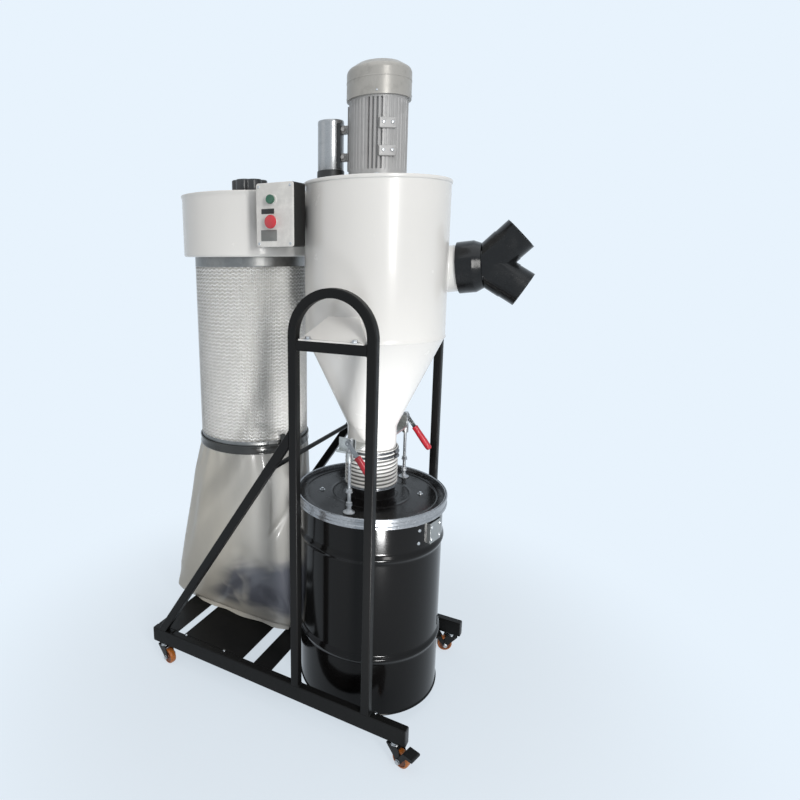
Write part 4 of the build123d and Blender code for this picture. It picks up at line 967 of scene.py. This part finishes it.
# The drum: a gloss black open-head steel drum with two rolling beads, on four small casters. A zinc pull
# plate is riveted on beside the closing ring.
drum_paint = sprayed_gloss("drum_black_gloss", (0.0040, 0.0038, 0.0038), 0.14, 0.0, 0.17)
drum_radius, drum_bore, rim_z = 0.216, 0.2135, 0.645
drum_height = np.linspace(0.046, 0.636, 150)
swell = np.zeros_like(drum_height)
for bead_z in (0.223, 0.534):
    near = np.clip(np.abs(drum_height - bead_z) / 0.014, 0.0, 1.0)
    swell = swell + 0.006 * (0.5 + 0.5 * np.cos(math.pi * near)) ** 0.8
rim = mm((218.5, -7.8), (220.5, -6.8), (221, -4), (220.5, -1.4), (218.8, 0), (215.5, -0.5), base=rim_z)
outside = mm((213.5, 40.2), (216.5, 40.2), (218.5, 41.2), (218.8, 43.2), (217.5, 45.2))
outside = [*outside, *zip(drum_radius + swell, drum_height), *rim]
inside = [(drum_bore, 0.64), *zip((drum_bore + swell)[::-3], drum_height[::-3]), (drum_bore, 0.0455)]
piece("drum_wall", [turned(outside + inside, 220, loop=True)], drum_paint, "drum_shell")
dress(drum_paint, "drum_floor")
dress(caster_paint, "drum_caster_housings", ease=0.0008)
drum_rubber = moulded_gloss("drum_wheel_plastic", (0.03, 0.03, 0.031), 0.55, 0.0)
dress(drum_rubber, "drum_caster_wheels", ease=0.0015)
plate_zinc = zinc_plate("pull_plate_zinc", (0.36, 0.365, 0.355), 0.36)
dress(plate_zinc, "drum_handle", ease=0.0015)

# The lid is a dished black pressing. A zinc channel ring, drawn together at the back by a bolt through two
# lugs, holds it down on the drum's rim.
lid_paint = powder_coat("lid_black_satin", (0.0055, 0.005, 0.005), 0.17, 0.2, 0.17)
lid_z, ring_z = 0.6458, 0.6445
lid = mm((70, -3), (200, -3), (201, -2.4), (201, -1), (202, -0.5), (224, -0.5), (224, 2.5), base=lid_z)
lid = lid + mm((200.5, 2.5), (198.8, 2.3), (198, 1.6), (197.4, 0.8), (196.2, 0.2), (194.5, 0), base=lid_z)
ribs = np.linspace(0.19, 0.084, 60)
lid = lid + list(zip(ribs, lid_z + 0.0011 * np.exp(-(((ribs - 0.118) / 0.004) ** 2))))
lid = lid + mm((75.5, 0.4), (73.8, 1.6), (73, 4.2), base=lid_z)
lid = lid + mm((73, 54.2), (72.4, 55.6), (70.8, 55.8), (70, 54.2), base=lid_z)
piece("lid_pressing", [turned(lid, 200, loop=True)], lid_paint, "drum_lid", "lid")
ring_zinc = zinc_plate("ring_zinc", (0.30, 0.31, 0.325), 0.22, 260.0, 0.8)
channel = mm((224.2, -15.3), (226.2, -15.5), (227.8, -13.9), (228, -10.5), base=ring_z)
channel = channel + mm((227.4, -7), (225.4, -5), (225.2, 0), (225.4, 3), (227.4, 5), base=ring_z)
channel = channel + mm((228, 8.5), (227.6, 14), (225.8, 15.5), base=ring_z)
channel = channel + mm((222, 15.3), (220.2, 14), (220, 4), (223.8, 3.9), (224.2, 0.5), base=ring_z)
piece("closing_ring", [turned(channel, 240, loop=True)], ring_zinc, "lid_ring", "lid")
lug_out, lug_across = heading(100.0)
lug = slab(16, 24, 4, (-2.2, 0), (2.2, 0), (2.6, 0.6))
lugs = []
for shift in (-0.013, 0.013):
    lugs.append(faced(lug, 0.2345 * lug_out + shift * lug_across + (0, 0, ring_z), lug_across))
bolt_at = 0.237 * lug_out + (0, 0, ring_z)
lugs.append(set_on(turned(mm((0, -24), (3.6, -24), (3.6, 24), (0, 24)), 20), bolt_at, lug_across))
for side in (1.0, -1.0):
    lugs.append(set_on(hex_bolt(0.012), bolt_at + side * 0.0156 * lug_across, side * lug_across))
piece("ring_lugs", lugs, ring_zinc, body="lid")
rivets = []
plate_out, plate_across = heading(-12.0)
for shift in (-0.021, 0.021):
    for height in (0.573, 0.609):
        at = 0.225 * plate_out + shift * plate_across + (0, 0, height)
        rivets.append(set_on(round_bolt(0.0042, 0.0024), at, plate_out))
for degrees, height in ((-28.0, 0.607), (-28.5, 0.569)):
    out = heading(degrees)[0]
    rivets.append(set_on(round_bolt(0.0052, 0.003), 0.2158 * out + (0, 0, height), out))
piece("pull_plate_rivets", rivets, bolt_zinc)
bolts = [set_on(hex_bolt(0.0085), (x, y, lid_z), spin=x * 20) for x, y in ((0.137, 0.058), (-0.137, -0.058))]
piece("lid_bolts", bolts, bolt_zinc, body="lid")


# The hose: white spiral-ribbed plastic between the cone's outlet and the lid's spigot, held by steel clamps.
# On the machine it shortens as the lid is lifted; here it is one fixed mesh that stays as it is.
def ribbed_hose(low, high, radius, depth, turns, rows, columns):
    """A spiral hose: radius = outer radius less the depth times a wave of height and angle, so that the ribs
    climb one pitch for each turn. Also gives how deep in the groove each point is."""
    lift = np.linspace(low, high, rows)[:, None]
    angle = circle(columns)
    wave = 0.5 + 0.5 * np.cos(2 * math.pi * turns * (lift - low) / (high - low) - angle)
    groove = (1 - wave) ** 1.6
    return upright(radius - depth * groove, angle, lift), groove


hose_points, hose_groove = ribbed_hose(0.6798, 0.798, 0.0790, 0.0045, 10, 210, 120)
hose_plastic = Finish("hose_white_plastic", Coat_Weight=0.2)
groove = hose_plastic.node("ShaderNodeAttribute", {"attribute_name": "groove"}, None, "Fac")
smudge = hose_plastic.noise(26.0, 4.0, 0.6)
rib_colour = hose_plastic.mix(smudge, (0.66, 0.66, 0.645), (0.76, 0.76, 0.75))
# Painted shade: the colour goes to near black deep in each spiral groove, where the ribs shade it.
hose_plastic.feed("Base Color", hose_plastic.mix(groove.over(0.55, 0.5), rib_colour, (0.115, 0.115, 0.11)))
hose_plastic.feed("Roughness", 0.34 + smudge * 0.16)
hose_plastic.feed("Normal", hose_plastic.bump(hose_plastic.noise(300.0, 2.0), 0.0002, 0.4))
inner = hose_points.copy()
inner[..., :2] *= 0.0738 / np.linalg.norm(inner[..., :2], axis=-1, keepdims=True)
hose_shape = grid(np.concatenate([hose_points, inner[::-1]]), along=True)
hose = piece("ribbed_hose", [hose_shape], hose_plastic, "hose", merge=False)
marks = hose.data.attributes.new("groove", "FLOAT", "POINT")
# Painted shade: the inside wall is given the full groove value, so it is painted dark all over.
marks.data.foreach_set("value", np.concatenate([hose_groove, np.ones_like(hose_groove)]).ravel())
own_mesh(hose)


def hose_clamp(low, high, radius):
    """A worm-drive band: a thin ring with rolled edges."""
    rim = [(radius - 0.0016, low), (radius, low), (radius + 0.0004, low + 0.001), (radius, low + 0.002)]
    return turned(rim + mirrored(rim, (low + high) / 2), 120, loop=True)


clamp_steel = zinc_plate("clamp_dark_steel", (0.16, 0.16, 0.165), 0.3)
clamp_radius = 0.0804
clamps = [hose_clamp(0.7745, 0.7805, clamp_radius), hose_clamp(0.7885, 0.7945, clamp_radius)]
screw_box = slab(20, 9, 2, (0, 0), (6, 0), (7, 1))
box_out = heading(math.degrees(-0.1))[0]
for height in (0.778, 0.7925):
    clamps.append(faced(screw_box, clamp_radius * box_out + (0, 0, height), box_out))
piece("hose_top_clamps", clamps, clamp_steel)
piece("hose_foot_ring", [hose_clamp(0.6802, 0.6862, 0.0800)], ring_zinc, body="lid")


# Two lid lifters: a threaded rod with a flared foot on the lid, guided by an arm from the outlet, and a
# hand lever in a red vinyl sleeve that draws it up.
def threaded_zinc():
    """Zinc-plated rod: bright metal with the thread as a fine ripple along its height."""
    finish = Finish("rod_zinc", Metallic=1.0)
    turns = finish.axis("Z") * (2 * math.pi / 0.0015)
    thread = finish.node("ShaderNodeMath", {"operation": "SINE"}, {0: turns})
    cloud = finish.noise(90.0, 4.0, 0.6)
    finish.feed("Base Color", finish.mix(cloud, (0.40, 0.405, 0.41), (0.62, 0.63, 0.64)))
    finish.feed("Roughness", 0.26 + cloud * 0.16)
    finish.feed("Normal", finish.bump(thread * 0.5 + 0.5, 0.0005, 0.6))
    return finish


rod_zinc = threaded_zinc()
lever_steel = zinc_plate("lever_steel", (0.25, 0.255, 0.26), 0.34)
bracket_zinc = zinc_plate("lifter_bracket_zinc", (0.56, 0.57, 0.555), 0.36)
grip_vinyl = moulded_gloss("grip_red_vinyl", (0.42, 0.010, 0.022), 0.34, 0.2)
dress(bracket_zinc, "lifter_brackets", ease=0.0012)
rod_foot, pivot_z = 0.6459, 0.852
rod = mm((0, 0), (16.5, 0), (17, 0.8), (16.8, 2.4), (14.5, 3.8), (10.8, 5.8), (7.8, 9.1), base=rod_foot)
rod = rod + mm((6.2, 13.9), (5.8, 20.6), (5, 21), (5, 199.1), (0, 199.1), base=rod_foot)
nut = hex_bolt(0.0155, 0.0085, 0.0098)
eye = slab(14, 26, 4, (-7, 0.8), (-6.2, 0), (6.2, 0), (7, 0.8))
pin = turned(mm((0, 0), (3, 0), (3, 8.8), (2.5, 9.2), (0, 9.2)), 24)
sleeve = mm((0, 0), (8.2, 0), (9.8, 1.2), (10.1, 4), (9.6, 12), (10.2, 34), (10.5, 55), (10.3, 73), (9.4, 81))
sleeve = turned(sleeve + mm((6.6, 85.1), (0, 86)), 36)
lever_drop = math.radians(52.0)
along = np.array([math.cos(lever_drop), 0.0, -math.sin(lever_drop)])
rods = []
for side, name, x in ((-1.0, "front", 0.006), (1.0, "rear", 0.044)):
    y = side * 0.168
    rods.append(turned(rod, 40, x, y))
    for height in (0.668, 0.706, 0.827):
        rods.append(set_on(nut, (x, y, height), spin=height * 40))
    rods.append(faced(eye, (x, y, pivot_z), (0, side, 0)))
    rods.append(set_on(pin, (x, y + side * 0.007, pivot_z), (0, side, 0)))
    pivot = np.array([x, y + side * 0.0096, pivot_z])
    grip = set_on(sleeve, pivot + 0.044 * along, along)
    piece(f"{name}_grip_sleeve", [grip], grip_vinyl, f"{name}_handle_grip", f"{name}_handle")
    dress(lever_steel, f"{name}_handle_arm", ease=0.001)
piece("lifter_rod_pair", rods, rod_zinc, "lifter_rods", "lid")


# Daylight from a window at the right front, a pale room all round, and a warmer, weaker light from the left.
# A patch of daylight low on the floor by the camera is what the drum mirrors beside the front hoop.
# The backdrop and the floor are the same pale blue, and the floor keeps the object's own soft shadow.
backdrop = (0.807, 0.896, 0.982)
room = Finish("pale_room", bpy.data.worlds.new("pale_room"), "Background")
scene.world = room.material


def seen_directly(finish):
    """1 for what the camera sees, straight, in a shiny surface or through a clear one, and 0 for light that
    falls on the object."""
    rays = ("Is Camera Ray", "Is Glossy Ray", "Is Transmission Ray")
    camera_ray, glossy_ray, clear_ray = (finish.node("ShaderNodeLightPath", output=name) for name in rays)
    return camera_ray.work("MAXIMUM", camera_ray.work("MAXIMUM", camera_ray, glossy_ray), clear_ray)


direct = seen_directly(room)
room.feed("Color", room.mix(direct, (1.0, 0.98, 0.95), backdrop))
room.feed("Strength", direct * 0.64 + 0.36)


def lamp(name, place, target, width, height, power, colour=(1.0, 1.0, 1.0), spread=180.0):
    """A rectangular soft lamp that faces its target. Its light fans out by the spread, in degrees."""
    light = bpy.data.lights.new(name, "AREA")
    light.shape = "RECTANGLE"
    light.size = width
    light.size_y = height
    light.energy = power
    light.color = colour
    light.spread = math.radians(spread)
    made = bpy.data.objects.new(name, light)
    made.location = place
    made.rotation_euler = (Vector(target) - Vector(place)).to_track_quat("-Z", "Y").to_euler()
    scene.collection.objects.link(made)


lamp("window_right", (2.1, -1.9, 2.0), (0.0, 0.0, 1.0), 0.5, 1.6, 42.0, (1.0, 0.985, 0.96))
lamp("room_left", (-2.4, -2.2, 1.8), (-0.2, 0.0, 0.9), 2.0, 2.2, 3.5, (1.0, 0.92, 0.82))
lamp("room_top", (0.2, -0.4, 3.4), (0.0, 0.0, 0.5), 2.6, 2.6, 17.0)
lamp("floor_glint", (0.84, -1.04, 0.12), (0.111, -0.185, 0.581), 0.24, 0.16, 2.0, spread=50.0)

floor_mesh = bpy.data.meshes.new("floor")
floor_mesh.from_pydata([(-9, -9, 0), (9, -9, 0), (9, 9, 0), (-9, 9, 0)], [], [(0, 1, 2, 3)])
floor = bpy.data.objects.new("floor", floor_mesh)
scene.collection.objects.link(floor)
ground = Finish("floor_pale", Roughness=0.7, Specular_IOR_Level=0.1, Base_Color=(0.78, 0.83, 0.88, 1.0))
paper = ground.node("ShaderNodeEmission", None, {"Color": (*backdrop, 1.0)})
aside, along = ground.axis("X") + 0.15, ground.axis("Y")
far = ((aside * aside + along * along) ** 0.5).over(1.0, 0.9)
share = seen_directly(ground) * (far * 0.3 + 0.7)
lit = Reading(ground, ground.shader.outputs[0])
joined = ground.node("ShaderNodeMixShader", None, {0: share, 1: lit, 2: paper})
ground.put(ground.tree.nodes["Material Output"].inputs["Surface"], joined)
floor_mesh.materials.append(ground.material)
